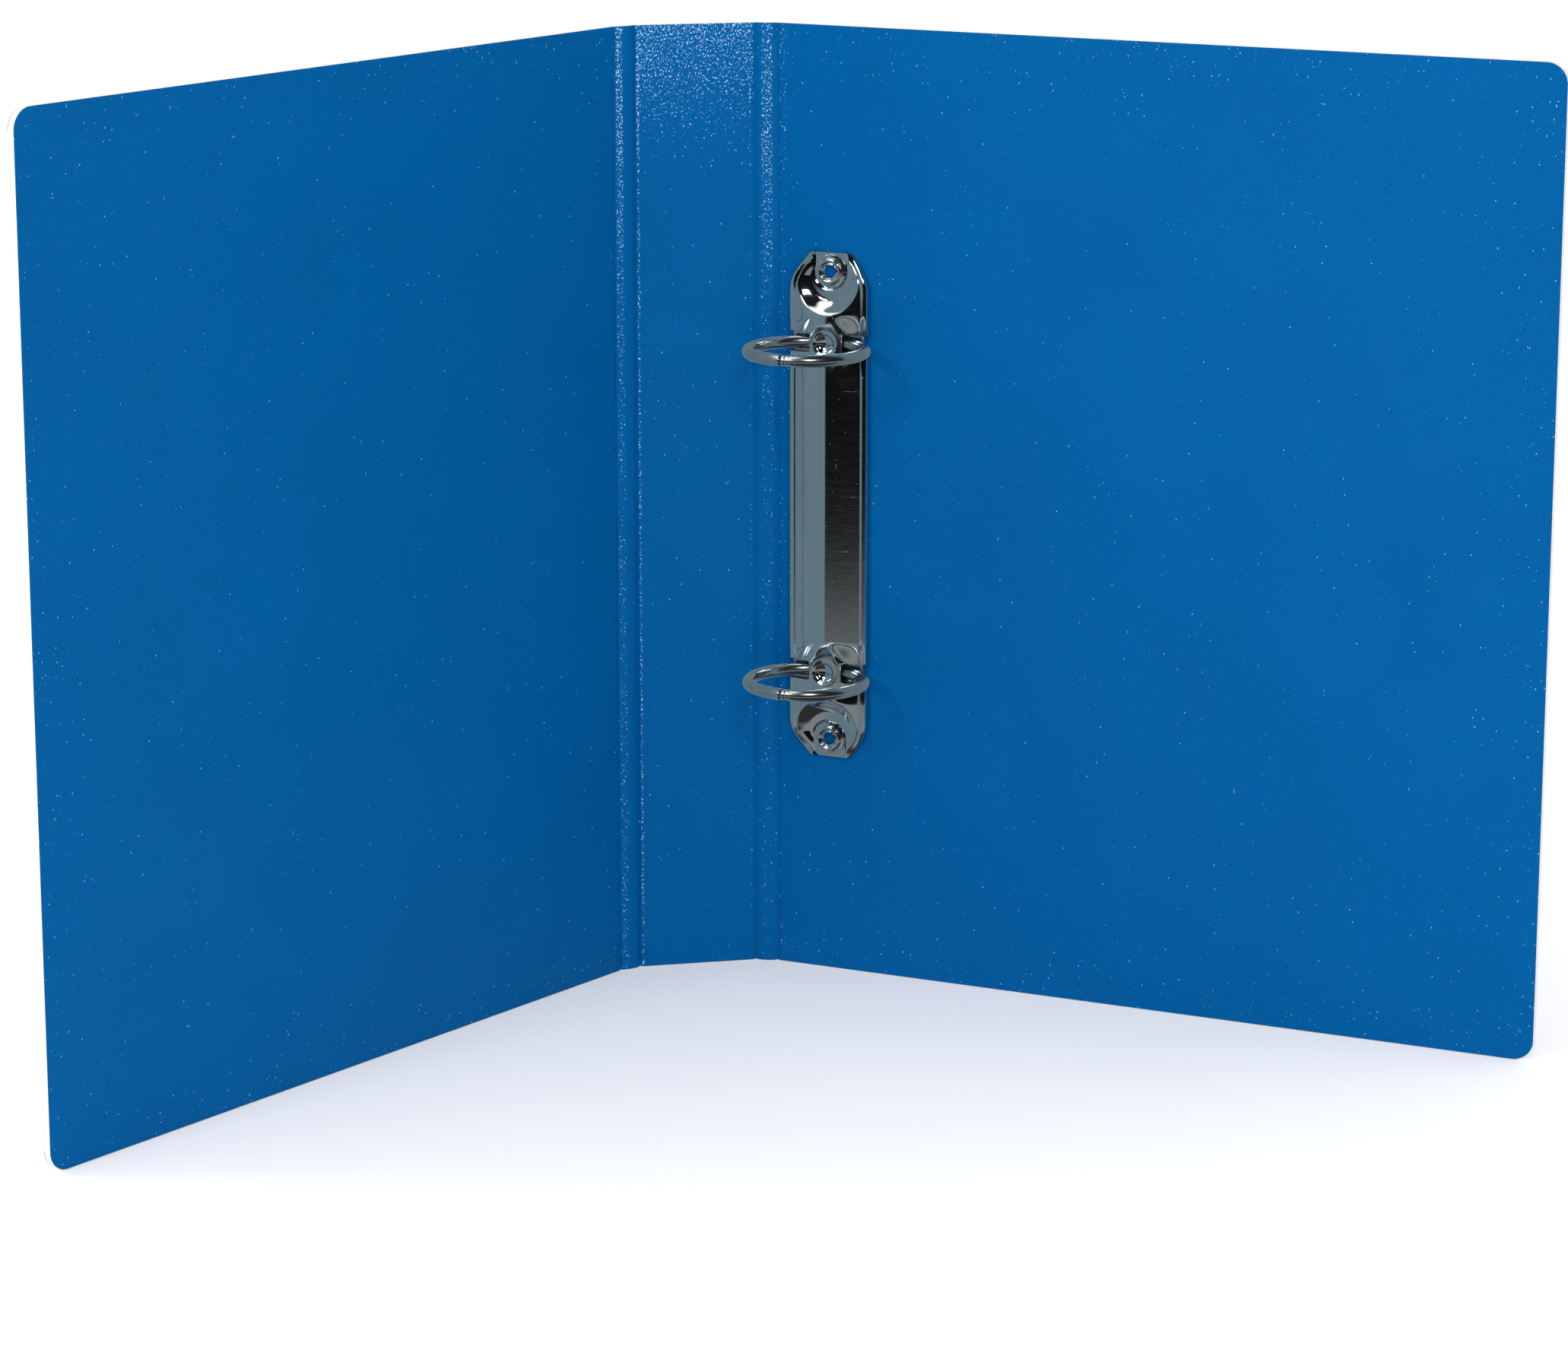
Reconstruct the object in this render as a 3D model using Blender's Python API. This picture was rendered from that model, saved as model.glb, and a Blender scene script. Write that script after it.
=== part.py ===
"""A5 two-ring binder, standing open on its bottom edge. Blender 4.5, metres, +Z up.

The origin is the middle of the spine board's bottom edge. The spine runs along X and the inside
faces -Y. The front cover is at -X; the back cover, which carries the ring mechanism, is at +X.
The cover is one laminated board, scored into five panels: front cover, front strip, spine, back
strip and back cover. Each panel is a board core between an outer and an inner film.
"""

import math

import bmesh
import bpy

MM = 0.001

# The scored cover
HEIGHT = 230.0 * MM
COVER_WIDTH = 192.0 * MM  # last crease to fore-edge
SPINE_PITCH = 29.2 * MM  # crease to crease across the spine
STRIP_PITCH = 5.8 * MM  # crease to crease across a hinge strip
CREASE_GAP = 1.1 * MM  # crushed width between two panels, so that they can fold by 45 degrees
CORNER_RADIUS = 5.0 * MM
BOARD_THICKNESS = 1.6 * MM
FILM_THICKNESS = 0.15 * MM
FILM_GAP = 0.05 * MM
FILM_INSET = 0.3 * MM  # the films stop short of the raw board edge
FRONT_FOLD = math.radians(19.75)  # at each of the front side's two creases, as it stands
BACK_FOLD = math.radians(18.75)
HALF_COVER = BOARD_THICKNESS / 2 + FILM_GAP + FILM_THICKNESS

# The spine label
LABEL_WIDTH = 24.0 * MM
LABEL_HEIGHT = 146.0 * MM
LABEL_BELOW_TOP = 9.0 * MM
LABEL_THICKNESS = 0.1 * MM
LABEL_RADIUS = 2.0 * MM

# The ring mechanism: X across it, Y along it and Z up from the back cover's inside face
MECHANISM_OFFSET = 14.3 * MM  # last crease to the mechanism's centre line
RING_PITCH = 80.0 * MM
RING_RADIUS = 13.7 * MM  # to the middle of the wire
RING_CENTRE = 14.45 * MM
WIRE_RADIUS = 1.45 * MM
RING_FOOT = math.radians(155.0)  # from the ring's crown round to its foot
RING_SEAM = 0.3 * MM

SHEET = 0.6 * MM
HOUSING_LENGTH = 123.0 * MM
HOUSING_HALF = 10.0 * MM
HOUSING_BASE = 0.15 * MM
ARCH_HALF = 8.4 * MM  # half width of the arch, inside the rims
ARCH_CROWN = 4.4 * MM
ARCH_EDGE = 2.5 * MM
RIM_TOP = 2.4 * MM
RIM_INNER = 1.3 * MM  # the rim's flat top lies between these two, inward from its outer face
RIM_OUTER = 0.6 * MM
RIM_ROUND_IN = 0.15 * MM
RIM_ROUND_DROP = 0.2 * MM
RIM_FOOT_BEVEL = 0.2 * MM
LIP_REACH = 2.0 * MM
LIP_END = 45.5 * MM  # the lips under the rims reach this far from the middle
LIP_TAPER = 0.4 * MM
FOOT_REACH = 0.7 * MM  # the rims' feet beyond the lips
FOOT_HEIGHT = 0.25 * MM
END_HALF = 5.0 * MM
SHOULDER_LENGTH = 4.6 * MM
DISH_CENTRE = 6.2 * MM  # from the housing's end
DISH_HALF_WIDTH = 7.6 * MM
DISH_HALF_LENGTH = 8.2 * MM
DISH_FLOOR = 4.3 * MM
DIMPLE_RADIUS = 2.3 * MM
DIMPLE_DEPTH = 1.3 * MM
NOTCH_INNER = 4.7 * MM
NOTCH_HALF = 2.6 * MM

RIVET_PITCH = 114.0 * MM
RIVET_SHANK = 2.1 * MM
RIVET_BORE = 1.2 * MM
RIVET_HEAD = 4.5 * MM
RIVET_HEAD_HEIGHT = 1.0 * MM
RIVET_HEAD_RIM = 0.25 * MM
RIVET_ROLL = 3.15 * MM
RIVET_ROLL_HEIGHT = 1.0 * MM
RIVET_MOUTH = 1.9 * MM  # the bore flares to this radius inside the roll
RIVET_MOUTH_DROP = 0.25 * MM
RIVET_THROAT_DROP = 0.8 * MM
RIVET_FLOOR = 0.3 * MM
RIVET_CLEARANCE = 0.3 * MM
SEAT_GAP = 0.1 * MM

BLADE_THICKNESS = 0.7 * MM
BLADE_PIVOT = 8.9 * MM  # from the centre line to the edge that sits in the housing's rim
BLADE_PIVOT_HEIGHT = 1.325 * MM
BLADE_OUTER = 9.15 * MM
BLADE_INNER = 0.15 * MM
BLADE_HALF_LENGTH = 44.5 * MM
BLADE_TILT = math.radians(3.5)  # the middle lies low while the rings are closed
SLOT_START = 5.0 * MM
SLOT_END = 8.6 * MM
SLOT_HALF = 1.75 * MM
RELIEF_HALF = 3.0 * MM  # notch that clears the housing's dimple

# Segments in a full turn
RIVET_SEGMENTS = 28
WIRE_SEGMENTS = 12

# Steps along each curve
RING_STEPS = 20
CORNER_STEPS = 6
ARCH_STEPS = 6
SHOULDER_STEPS = 4
DISH_STEPS = 7
DIMPLE_STEPS = 2
HEAD_STEPS = 4
ROLL_STEPS = 6
CUTTER_REACH = 8.0 * MM
SMOOTH_ANGLE = math.radians(35)
MERGE_DISTANCE = 0.001 * MM

FRONT, BACK = -1, 1


def clear_scene():
    for obj in list(bpy.data.objects):
        bpy.data.objects.remove(obj, do_unlink=True)


def material(name, colour, roughness, metallic=0.0):
    made = bpy.data.materials.new(name)
    made.use_nodes = True
    shader = made.node_tree.nodes["Principled BSDF"]
    shader.inputs["Base Color"].default_value = (*colour, 1.0)
    shader.inputs["Roughness"].default_value = roughness
    shader.inputs["Metallic"].default_value = metallic
    made.diffuse_color = (*colour, 1.0)
    return made


def pivot(name, parent=None, location=(0, 0, 0), rotation=(0, 0, 0)):
    """An empty that a body's pieces hang on, on the axis that the body turns about."""
    empty = bpy.data.objects.new(name, None)
    bpy.context.scene.collection.objects.link(empty)
    empty.parent = parent
    empty.location = location
    empty.rotation_euler = rotation
    return empty


def finish_object(bm, name, parent, surface, location=(0, 0, 0), rotation=(0, 0, 0)):
    bmesh.ops.recalc_face_normals(bm, faces=bm.faces)
    mesh = bpy.data.meshes.new(name)
    bm.to_mesh(mesh)
    bm.free()
    obj = bpy.data.objects.new(name, mesh)
    bpy.context.scene.collection.objects.link(obj)
    obj.parent = parent
    obj.location = location
    obj.rotation_euler = rotation
    if surface:
        mesh.materials.append(surface)
    return obj


def shade_round(obj):
    obj.data.shade_smooth()
    obj.data.set_sharp_from_angle(angle=SMOOTH_ANGLE)


def plate(bm, corners, depth):
    """A flat outline of 3-D corners, thickened by the vector depth."""
    face = bm.faces.new([bm.verts.new(corner) for corner in corners])
    grown = bmesh.ops.extrude_face_region(bm, geom=[face])["geom"]
    moved = [item for item in grown if isinstance(item, bmesh.types.BMVert)]
    bmesh.ops.translate(bm, verts=moved, vec=depth)


def box(bm, low, high):
    corners = [(low[0], low[1]), (high[0], low[1]), (high[0], high[1]), (low[0], high[1])]
    plate(bm, [(x, y, low[2]) for x, y in corners], (0, 0, high[2] - low[2]))


def cutter(bm, name, target):
    """Takes the shape in bm away from the target, which it moves with."""
    tool = finish_object(bm, name, target.parent, None, target.location, target.rotation_euler)
    tool.hide_render = True
    tool.display_type = "WIRE"
    cut = target.modifiers.new(name, "BOOLEAN")
    cut.operation = "DIFFERENCE"
    cut.solver = "EXACT"
    cut.object = tool


def rounded_outline(left, right, bottom, top, left_radius, right_radius):
    """Corner points, anticlockwise, of a rectangle; a radius of 0 leaves a square corner."""
    corners = [
        (right, bottom, right_radius, -90),
        (right, top, right_radius, 0),
        (left, top, left_radius, 90),
        (left, bottom, left_radius, 180),
    ]
    points = []
    for x, z, radius, start in corners:
        if radius == 0:
            points.append((x, z))
            continue
        inward_x = 1 if x == left else -1
        inward_z = 1 if z == bottom else -1
        for step in range(CORNER_STEPS + 1):
            angle = math.radians(start + 90 * step / CORNER_STEPS)
            points.append(
                (
                    x + inward_x * radius + radius * math.cos(angle),
                    z + inward_z * radius + radius * math.sin(angle),
                )
            )
    return points


def panel_layer(name, parent, surface, span, side, radius, near, far, inset):
    """One layer of a panel, between the depths near and far from the board's middle plane."""
    low, high = (span if side != FRONT else (-span[1], -span[0]))
    free_left = side == FRONT and radius > 0
    free_right = side == BACK and radius > 0
    outline = rounded_outline(
        low + (inset if free_left else 0),
        high - (inset if free_right else 0),
        inset,
        HEIGHT - inset,
        radius - inset if free_left else 0,
        radius - inset if free_right else 0,
    )
    bm = bmesh.new()
    plate(bm, [(x, near, z) for x, z in outline], (0, far - near, 0))
    return finish_object(bm, name, parent, surface)


def panel(name, parent, span, side, radius, surfaces):
    """The board core and the two films of one panel. Returns the three objects."""
    core = BOARD_THICKNESS / 2
    film = core + FILM_GAP
    board = panel_layer(
        name + "_board", parent, surfaces["board"], span, side, radius, -core, core, 0
    )
    outer = panel_layer(
        name + "_outer_film", parent, surfaces["film"], span, side, radius,
        film, film + FILM_THICKNESS, FILM_INSET,
    )
    inner = panel_layer(
        name + "_inner_film", parent, surfaces["film"], span, side, radius,
        -film - FILM_THICKNESS, -film, FILM_INSET,
    )
    return board, outer, inner


def spine_label(parent, surface):
    top = HEIGHT - LABEL_BELOW_TOP
    outline = rounded_outline(
        -LABEL_WIDTH / 2, LABEL_WIDTH / 2, top - LABEL_HEIGHT, top, LABEL_RADIUS, LABEL_RADIUS
    )
    bm = bmesh.new()
    near = HALF_COVER + FILM_GAP
    plate(bm, [(x, near, z) for x, z in outline], (0, LABEL_THICKNESS, 0))
    finish_object(bm, "spine_label", parent, surface)


def add_side(spine, side, fold, surfaces):
    """One side's strip and cover, each on an empty at its crease. Returns the cover's empty and layers."""
    word = "front" if side == FRONT else "back"
    turn = (0, 0, -side * fold)
    half_gap = CREASE_GAP / 2
    strip = pivot(word + "_strip_crease", spine, (side * SPINE_PITCH / 2, 0, 0), turn)
    panel(word + "_strip", strip, (half_gap, STRIP_PITCH - half_gap), side, 0, surfaces)
    cover = pivot(word + "_cover_crease", strip, (side * STRIP_PITCH, 0, 0), turn)
    layers = panel(word + "_cover", cover, (half_gap, COVER_WIDTH), side, CORNER_RADIUS, surfaces)
    return cover, layers


def arch_height(x):
    """The arch's outside height at x, on the circle through its crown and its two edges."""
    rise = ARCH_CROWN - ARCH_EDGE
    radius = (ARCH_HALF**2 + rise**2) / (2 * rise)
    return ARCH_CROWN - radius + math.sqrt(radius**2 - x**2)


def dish_share(x, y):
    """How far the rivet dish presses the sheet down at (x, y): 0 not at all, 1 to the cover."""
    end = HOUSING_LENGTH / 2
    along = max(0.0, RIVET_PITCH / 2 - abs(y))
    beyond_floor = math.hypot(x, along) - DISH_FLOOR
    oval = math.hypot(x / DISH_HALF_WIDTH, (abs(y) - end + DISH_CENTRE) / DISH_HALF_LENGTH)
    within_rim = (1 - oval) * DISH_HALF_WIDTH
    if beyond_floor <= 0:
        return 1.0
    if within_rim <= 0:
        return 0.0
    return within_rim / (within_rim + beyond_floor)


def dimple_drop(x, y):
    """Depth of the round dimple pressed in beside each ring."""
    away = math.hypot(x, abs(y) - RING_PITCH / 2) / DIMPLE_RADIUS
    return DIMPLE_DEPTH * math.sqrt(1 - away**2) if away < 1 else 0.0


def pressed(x, y, height, rest):
    """The height of a sheet point once the dish, whose sheet comes to rest at rest, is pressed in."""
    return height + (rest - height) * dish_share(x, y)


def housing_section(y):
    """The sheet's closed outline across the housing at y: its outside, then its inside."""
    end = HOUSING_LENGTH / 2
    share = max(0.0, (abs(y) - end + SHOULDER_LENGTH) / SHOULDER_LENGTH)
    half = HOUSING_HALF - (HOUSING_HALF - END_HALF) * share
    squeeze = (half - HOUSING_HALF + ARCH_HALF) / ARCH_HALF
    has_lip = abs(y) <= LIP_END
    lip_end = half - (LIP_REACH if has_lip else FOOT_REACH)
    lip_top = HOUSING_BASE + (SHEET if has_lip else FOOT_HEIGHT)
    steps = [ARCH_HALF * i / ARCH_STEPS for i in range(-ARCH_STEPS, ARCH_STEPS + 1)]
    floor_top = HOUSING_BASE + SHEET

    outside = []
    inside = []
    for x in steps:
        across = x * squeeze
        drop = dimple_drop(across, y)
        top = arch_height(x) - drop
        outside.append((across, pressed(across, y, top, floor_top)))
        inside.append((across, pressed(across, y, top - SHEET, HOUSING_BASE)))
    rim = []
    for inward, drop in ((RIM_INNER, 0), (RIM_OUTER, 0), (RIM_ROUND_IN, RIM_ROUND_DROP)):
        across = half - inward
        rim.append((across, pressed(across, y, RIM_TOP - drop, floor_top)))
    rim += [
        (half, RIM_TOP - SHEET),
        (half, HOUSING_BASE + RIM_FOOT_BEVEL),
        (half - RIM_FOOT_BEVEL, HOUSING_BASE),
        (lip_end, HOUSING_BASE),
        (lip_end, lip_top),
        (half - SHEET, lip_top),
        (half - SHEET, pressed(half - SHEET, y, RIM_TOP - SHEET, HOUSING_BASE)),
    ]
    mirrored = [(-x, z) for x, z in reversed(rim)]
    outline = outside + rim + inside[::-1] + mirrored
    return [(x, y, z) for x, z in outline]


def housing_stations():
    """Where along the housing its section is taken: closely spaced at the dishes and the dimples."""
    end = HOUSING_LENGTH / 2
    shoulder = end - SHOULDER_LENGTH
    dish_foot = end - DISH_CENTRE - DISH_HALF_LENGTH
    stations = [LIP_END + LIP_TAPER, LIP_END]
    stations += [end - SHOULDER_LENGTH * i / SHOULDER_STEPS for i in range(SHOULDER_STEPS)]
    stations += [shoulder + (dish_foot - shoulder) * i / DISH_STEPS for i in range(DISH_STEPS + 1)]
    for i in range(-DIMPLE_STEPS, DIMPLE_STEPS + 1):
        stations.append(RING_PITCH / 2 + DIMPLE_RADIUS * i / DIMPLE_STEPS)
    return sorted([-y for y in stations] + stations)


def ring_housing(parent, surface):
    bm = bmesh.new()
    sections = [[bm.verts.new(point) for point in housing_section(y)] for y in housing_stations()]
    for first, second in zip(sections, sections[1:]):
        for i in range(len(first)):
            j = (i + 1) % len(first)
            bm.faces.new((first[i], first[j], second[j], second[i]))
    bm.faces.new(sections[0][::-1])
    bm.faces.new(sections[-1])
    housing = finish_object(bm, "ring_housing", parent, surface)
    shade_round(housing)

    tool = bmesh.new()
    for ring in (-1, 1):
        y = ring * RING_PITCH / 2
        for side in (-1, 1):
            edges = sorted((side * NOTCH_INNER, side * (HOUSING_HALF + CUTTER_REACH)))
            low = (edges[0], y - NOTCH_HALF, -CUTTER_REACH)
            high = (edges[1], y + NOTCH_HALF, CUTTER_REACH)
            box(tool, low, high)
    cutter(tool, "housing_notches", housing)
    cutter(rivet_holes(), "housing_rivet_holes", housing)


def rivet_holes():
    """Two cylinders along Z where the rivets pass, in the mechanism's own frame."""
    bm = bmesh.new()
    for end in (-1, 1):
        made = bmesh.ops.create_cone(
            bm, cap_ends=True, segments=RIVET_SEGMENTS, depth=2 * CUTTER_REACH,
            radius1=RIVET_SHANK + RIVET_CLEARANCE, radius2=RIVET_SHANK + RIVET_CLEARANCE,
        )
        bmesh.ops.translate(bm, verts=made["verts"], vec=(0, end * RIVET_PITCH / 2, 0))
    return bm


def rivet_profile():
    """Half section of a tubular rivet, from the head's middle round to the bottom of its bore."""
    outer_face = -2 * HALF_COVER - SEAT_GAP
    roll_base = HOUSING_BASE + SHEET + SEAT_GAP
    roll_top = roll_base + RIVET_ROLL_HEIGHT
    roll = RIVET_ROLL_HEIGHT / 2
    dome = RIVET_HEAD_HEIGHT - RIVET_HEAD_RIM
    points = [(0, outer_face - RIVET_HEAD_HEIGHT)]
    for step in range(1, HEAD_STEPS + 1):
        angle = math.radians(90 * step / HEAD_STEPS)
        depth = RIVET_HEAD_RIM + dome * math.cos(angle)
        points.append((RIVET_HEAD * math.sin(angle), outer_face - depth))
    points += [(RIVET_HEAD, outer_face), (RIVET_SHANK, outer_face), (RIVET_SHANK, roll_base)]
    for step in range(ROLL_STEPS + 1):
        angle = math.radians(-90 + 180 * step / ROLL_STEPS)
        reach = RIVET_ROLL - roll + roll * math.cos(angle)
        points.append((reach, roll_base + roll + roll * math.sin(angle)))
    points += [
        (RIVET_MOUTH, roll_top - RIVET_MOUTH_DROP),
        (RIVET_BORE, roll_top - RIVET_THROAT_DROP),
        (RIVET_BORE, outer_face - RIVET_FLOOR),
        (0, outer_face - RIVET_FLOOR),
    ]
    return points


def rivet(name, parent, y, surface):
    bm = bmesh.new()
    points = [bm.verts.new((radius, 0, z)) for radius, z in rivet_profile()]
    edges = [bm.edges.new(pair) for pair in zip(points, points[1:])]
    bmesh.ops.spin(
        bm, geom=points + edges, cent=(0, 0, 0), axis=(0, 0, 1), angle=math.tau,
        steps=RIVET_SEGMENTS, use_merge=True,
    )
    bmesh.ops.remove_doubles(bm, verts=bm.verts, dist=MERGE_DISTANCE)
    shade_round(finish_object(bm, name, parent, surface, (0, y, 0)))


def blade(name, parent, side, surface):
    """One of the two sprung plates inside the housing, hung on its outer edge."""
    bm = bmesh.new()
    half = BLADE_THICKNESS / 2
    across = sorted((side * (BLADE_INNER - BLADE_PIVOT), side * (BLADE_OUTER - BLADE_PIVOT)))
    box(bm, (across[0], -BLADE_HALF_LENGTH, -half), (across[1], BLADE_HALF_LENGTH, half))
    plate_object = finish_object(bm, name, parent, surface, rotation=(0, -side * BLADE_TILT, 0))

    tool = bmesh.new()
    for ring in (-1, 1):
        y = ring * RING_PITCH / 2
        for start, stop, reach in (
            (SLOT_START, SLOT_END, SLOT_HALF), (-RELIEF_HALF, RELIEF_HALF, RELIEF_HALF)
        ):
            edges = sorted((side * (start - BLADE_PIVOT), side * (stop - BLADE_PIVOT)))
            low = (edges[0], y - reach, -CUTTER_REACH)
            high = (edges[1], y + reach, CUTTER_REACH)
            box(tool, low, high)
    cutter(tool, name + "_openings", plate_object)


def ring_half(name, parent, side, y, surface):
    """Half a ring of round wire, from its seam at the crown to the foot that stands in the blade."""
    bm = bmesh.new()
    start = math.asin(RING_SEAM / 2 / RING_RADIUS)
    sections = []
    for step in range(RING_STEPS + 1):
        angle = start + (RING_FOOT - start) * step / RING_STEPS
        outward = (side * math.sin(angle), math.cos(angle))
        section = []
        for corner in range(WIRE_SEGMENTS):
            around = math.tau * corner / WIRE_SEGMENTS
            reach = RING_RADIUS + WIRE_RADIUS * math.cos(around)
            section.append(
                bm.verts.new((reach * outward[0], WIRE_RADIUS * math.sin(around), reach * outward[1]))
            )
        sections.append(section)
    for first, second in zip(sections, sections[1:]):
        for i in range(WIRE_SEGMENTS):
            j = (i + 1) % WIRE_SEGMENTS
            bm.faces.new((first[i], first[j], second[j], second[i]))
    bm.faces.new(sections[0][::-1])
    bm.faces.new(sections[-1])
    place = (-side * BLADE_PIVOT, y, RING_CENTRE - BLADE_PIVOT_HEIGHT)
    shade_round(finish_object(bm, name, parent, surface, place))


def ring_mechanism(cover, cover_layers, surfaces):
    """Housing, rivets, blades and rings, on the back cover's inside face."""
    mount = pivot(
        "mechanism", cover, (MECHANISM_OFFSET, -HALF_COVER, HEIGHT / 2), (math.radians(90), 0, 0)
    )
    ring_housing(mount, surfaces["nickel"])
    ends = {"upper": 1, "lower": -1}
    for word, end in ends.items():
        rivet(word + "_rivet", mount, end * RIVET_PITCH / 2, surfaces["rivet"])
    for word, side in {"spine_side": -1, "fore_side": 1}.items():
        hinge = pivot(word + "_blade_hinge", mount, (side * BLADE_PIVOT, 0, BLADE_PIVOT_HEIGHT))
        blade(word + "_blade", hinge, side, surfaces["steel"])
        for level, end in ends.items():
            ring_half(
                f"{level}_ring_{word}_half", hinge, side, end * RING_PITCH / 2, surfaces["nickel"]
            )
    for layer in cover_layers:
        tool = rivet_holes()
        bmesh.ops.rotate(
            tool, verts=tool.verts, cent=(0, 0, 0), matrix=mount.rotation_euler.to_matrix()
        )
        bmesh.ops.translate(tool, verts=tool.verts, vec=mount.location)
        cutter(tool, layer.name + "_rivet_holes", layer)


def main():
    clear_scene()
    surfaces = {
        "board": material("white_board", (0.78, 0.78, 0.76), 0.8),
        "film": material("blue_film", (0.0, 0.115, 0.37), 0.4),
        "label": material("label_paper", (0.85, 0.86, 0.87), 0.6),
        "nickel": material("bright_nickel", (0.62, 0.65, 0.67), 0.15, 1.0),
        "steel": material("plated_steel", (0.45, 0.47, 0.49), 0.35, 1.0),
        "rivet": material("rivet_nickel", (0.7, 0.72, 0.73), 0.2, 1.0),
    }
    spine = pivot("spine_base")
    span = SPINE_PITCH / 2 - CREASE_GAP / 2
    panel("spine", spine, (-span, span), 0, 0, surfaces)
    spine_label(spine, surfaces["label"])
    add_side(spine, FRONT, FRONT_FOLD, surfaces)
    back_cover, back_layers = add_side(spine, BACK, BACK_FOLD, surfaces)
    ring_mechanism(back_cover, back_layers, surfaces)


main()
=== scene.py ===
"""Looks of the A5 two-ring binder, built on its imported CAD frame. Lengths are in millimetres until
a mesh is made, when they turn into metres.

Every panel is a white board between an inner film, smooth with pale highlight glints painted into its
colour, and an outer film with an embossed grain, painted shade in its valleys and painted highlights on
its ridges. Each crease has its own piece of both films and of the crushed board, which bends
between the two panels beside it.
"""

import math
import bmesh
import bpy
import numpy as np
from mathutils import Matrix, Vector


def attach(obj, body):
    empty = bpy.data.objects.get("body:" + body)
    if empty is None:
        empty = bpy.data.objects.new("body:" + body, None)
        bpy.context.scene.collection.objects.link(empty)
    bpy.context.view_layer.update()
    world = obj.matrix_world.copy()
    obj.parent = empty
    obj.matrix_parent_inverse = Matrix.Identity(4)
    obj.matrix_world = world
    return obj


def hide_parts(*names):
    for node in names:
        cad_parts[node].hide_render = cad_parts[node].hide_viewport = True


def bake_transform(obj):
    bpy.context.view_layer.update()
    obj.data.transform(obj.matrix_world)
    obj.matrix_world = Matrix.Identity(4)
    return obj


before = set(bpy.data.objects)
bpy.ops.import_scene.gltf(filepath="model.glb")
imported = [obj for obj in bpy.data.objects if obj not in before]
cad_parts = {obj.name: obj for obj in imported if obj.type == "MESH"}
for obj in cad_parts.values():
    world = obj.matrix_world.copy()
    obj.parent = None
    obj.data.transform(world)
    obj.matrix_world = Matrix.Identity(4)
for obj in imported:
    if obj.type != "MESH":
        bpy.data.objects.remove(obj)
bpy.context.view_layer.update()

MM = 0.001

# The scored cover, as in the CAD
HEIGHT = 230.0
COVER_WIDTH = 192.0
SPINE_PITCH = 29.2
STRIP_PITCH = 5.8
HALF_GAP = 0.55
CORNER = 5.0
FRONT_FOLD = math.radians(19.75)
BACK_FOLD = math.radians(18.75)
SKIN = 1.0  # the films' faces, from the board's middle plane
FILM = 0.15
CORE = SKIN - FILM
FILM_INSET = 0.06
LAYER_GAP = 0.02
BULGE = 0.35  # the hinge strips bow towards the inside
DIP = 0.07  # a film dips by this much as it nears a crease or a free edge
DIP_REACH = 0.6
EDGE_REACH = 0.2

# The creases' own pieces
OVERLAP = 0.3  # how far they reach under the panels
CREASE_SINK = 0.015  # how far they lie under the panels' films there
CREASE_THINNING = 0.03
CREASE_INSET = 0.1
INNER_GROOVES = {"front_strip": 0.34, "front_cover": 0.16, "back_strip": 0.16, "back_cover": 0.16}
OUTER_GROOVE = 0.10

# The spine label
LABEL_WIDTH = 24.0
LABEL_HEIGHT = 146.0
LABEL_TOP = HEIGHT - 9.0
LABEL_RADIUS = 2.0
LABEL_THICKNESS = 0.15

# Bands of painted highlight glints on the inner film: from s, to s, amount, and how strongly it fades
# downwards
PAINTED_GLINT_BANDS = (
    (-14.0, -13.5, 0.55, 0),
    (12.96, 13.45, 0.30, 0),
    (-20.1, -18.1, 0.62, 1),
    (16.2, 18.9, 0.55, 2),
    (20.9, 22.8, 0.22, 1),
)

# How finely the panels are divided
NEAR_END = np.array([0.0, 0.05, 0.12, 0.25, 0.6])
NEAR_CREASE = np.array([0.0, 0.1, 0.22, 0.36, 0.52])
END_BAND = 1.5
PANEL_ROWS = 20
LABEL_ROWS = 16

# The ring mechanism, in its own frame: x across it, y up it, z off the back cover
MECHANISM_OFFSET = 14.3
RING_Y = 40.0
RIVET_Y = 57.0
HOUSING_END = 61.5
HALF_WIDTH = 10.0
END_HALF = 5.0
SHOULDER = 9.5
SHEET = 0.6
BASE = 0.15
ARCH_HALF = 8.4
ARCH_CROWN = 4.4
ARCH_EDGE = 2.5
RIM_TOP = 2.44
END_RIM = 0.9
RIM_EDGE = 0.65  # the rim rounds over from here, inward from its outer face
RIM_STEP = 0.25
RIM_GROOVE = 0.05
RIM_GROOVE_WIDTH = 0.14
LIP = 2.0
LIP_END = 45.5
SHORT_LIP = 0.75
FOOT = 0.45
BASIN_Y = 55.5
BASIN_HALF = 8.2
BASIN_LENGTH = 8.3
BASIN_WALL = 3.3
BOWL = 1.2
BOWL_SLOPE = 0.04
FLOOR_RADIUS = 4.3
FLOOR_EDGE = 0.7
END_START = 54.0
END_RUN = 7.0
BRIDGE_HALF = 3.0
BRIDGE_LENGTH = 6.0
FLANK_LENGTH = 5.2
FLANK_WIDTH = 2.8
FLANK_TOP = 2.46  # clear of the blades beneath when the rings are open
FLANK_SLOPE = 0.2
COLLAR_RADIUS = 2.6
COLLAR_DEPTH = 0.28
DIMPLE_RADIUS = 2.3
DIMPLE_DEPTH = 1.15
NOTCH_INNER = 4.1
NOTCH_HALF = 2.45
NOTCH_RADIUS = 0.9
RIVET_HOLE = 2.0
RING_RADIUS = 13.7
RING_CENTRE = 14.45
WIRE = 1.45
RING_FOOT = math.radians(159.0)
JOINT_HALF_GAP = 0.15
COLLAR_END = 2.0

# The rivets
RIVET_SEGMENTS = 72
RIVET_HEAD = 4.5
RIVET_SHANK = 2.1
RIVET_BORE = 1.2
RIVET_HEAD_FACE = -2 * SKIN - 0.1

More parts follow.
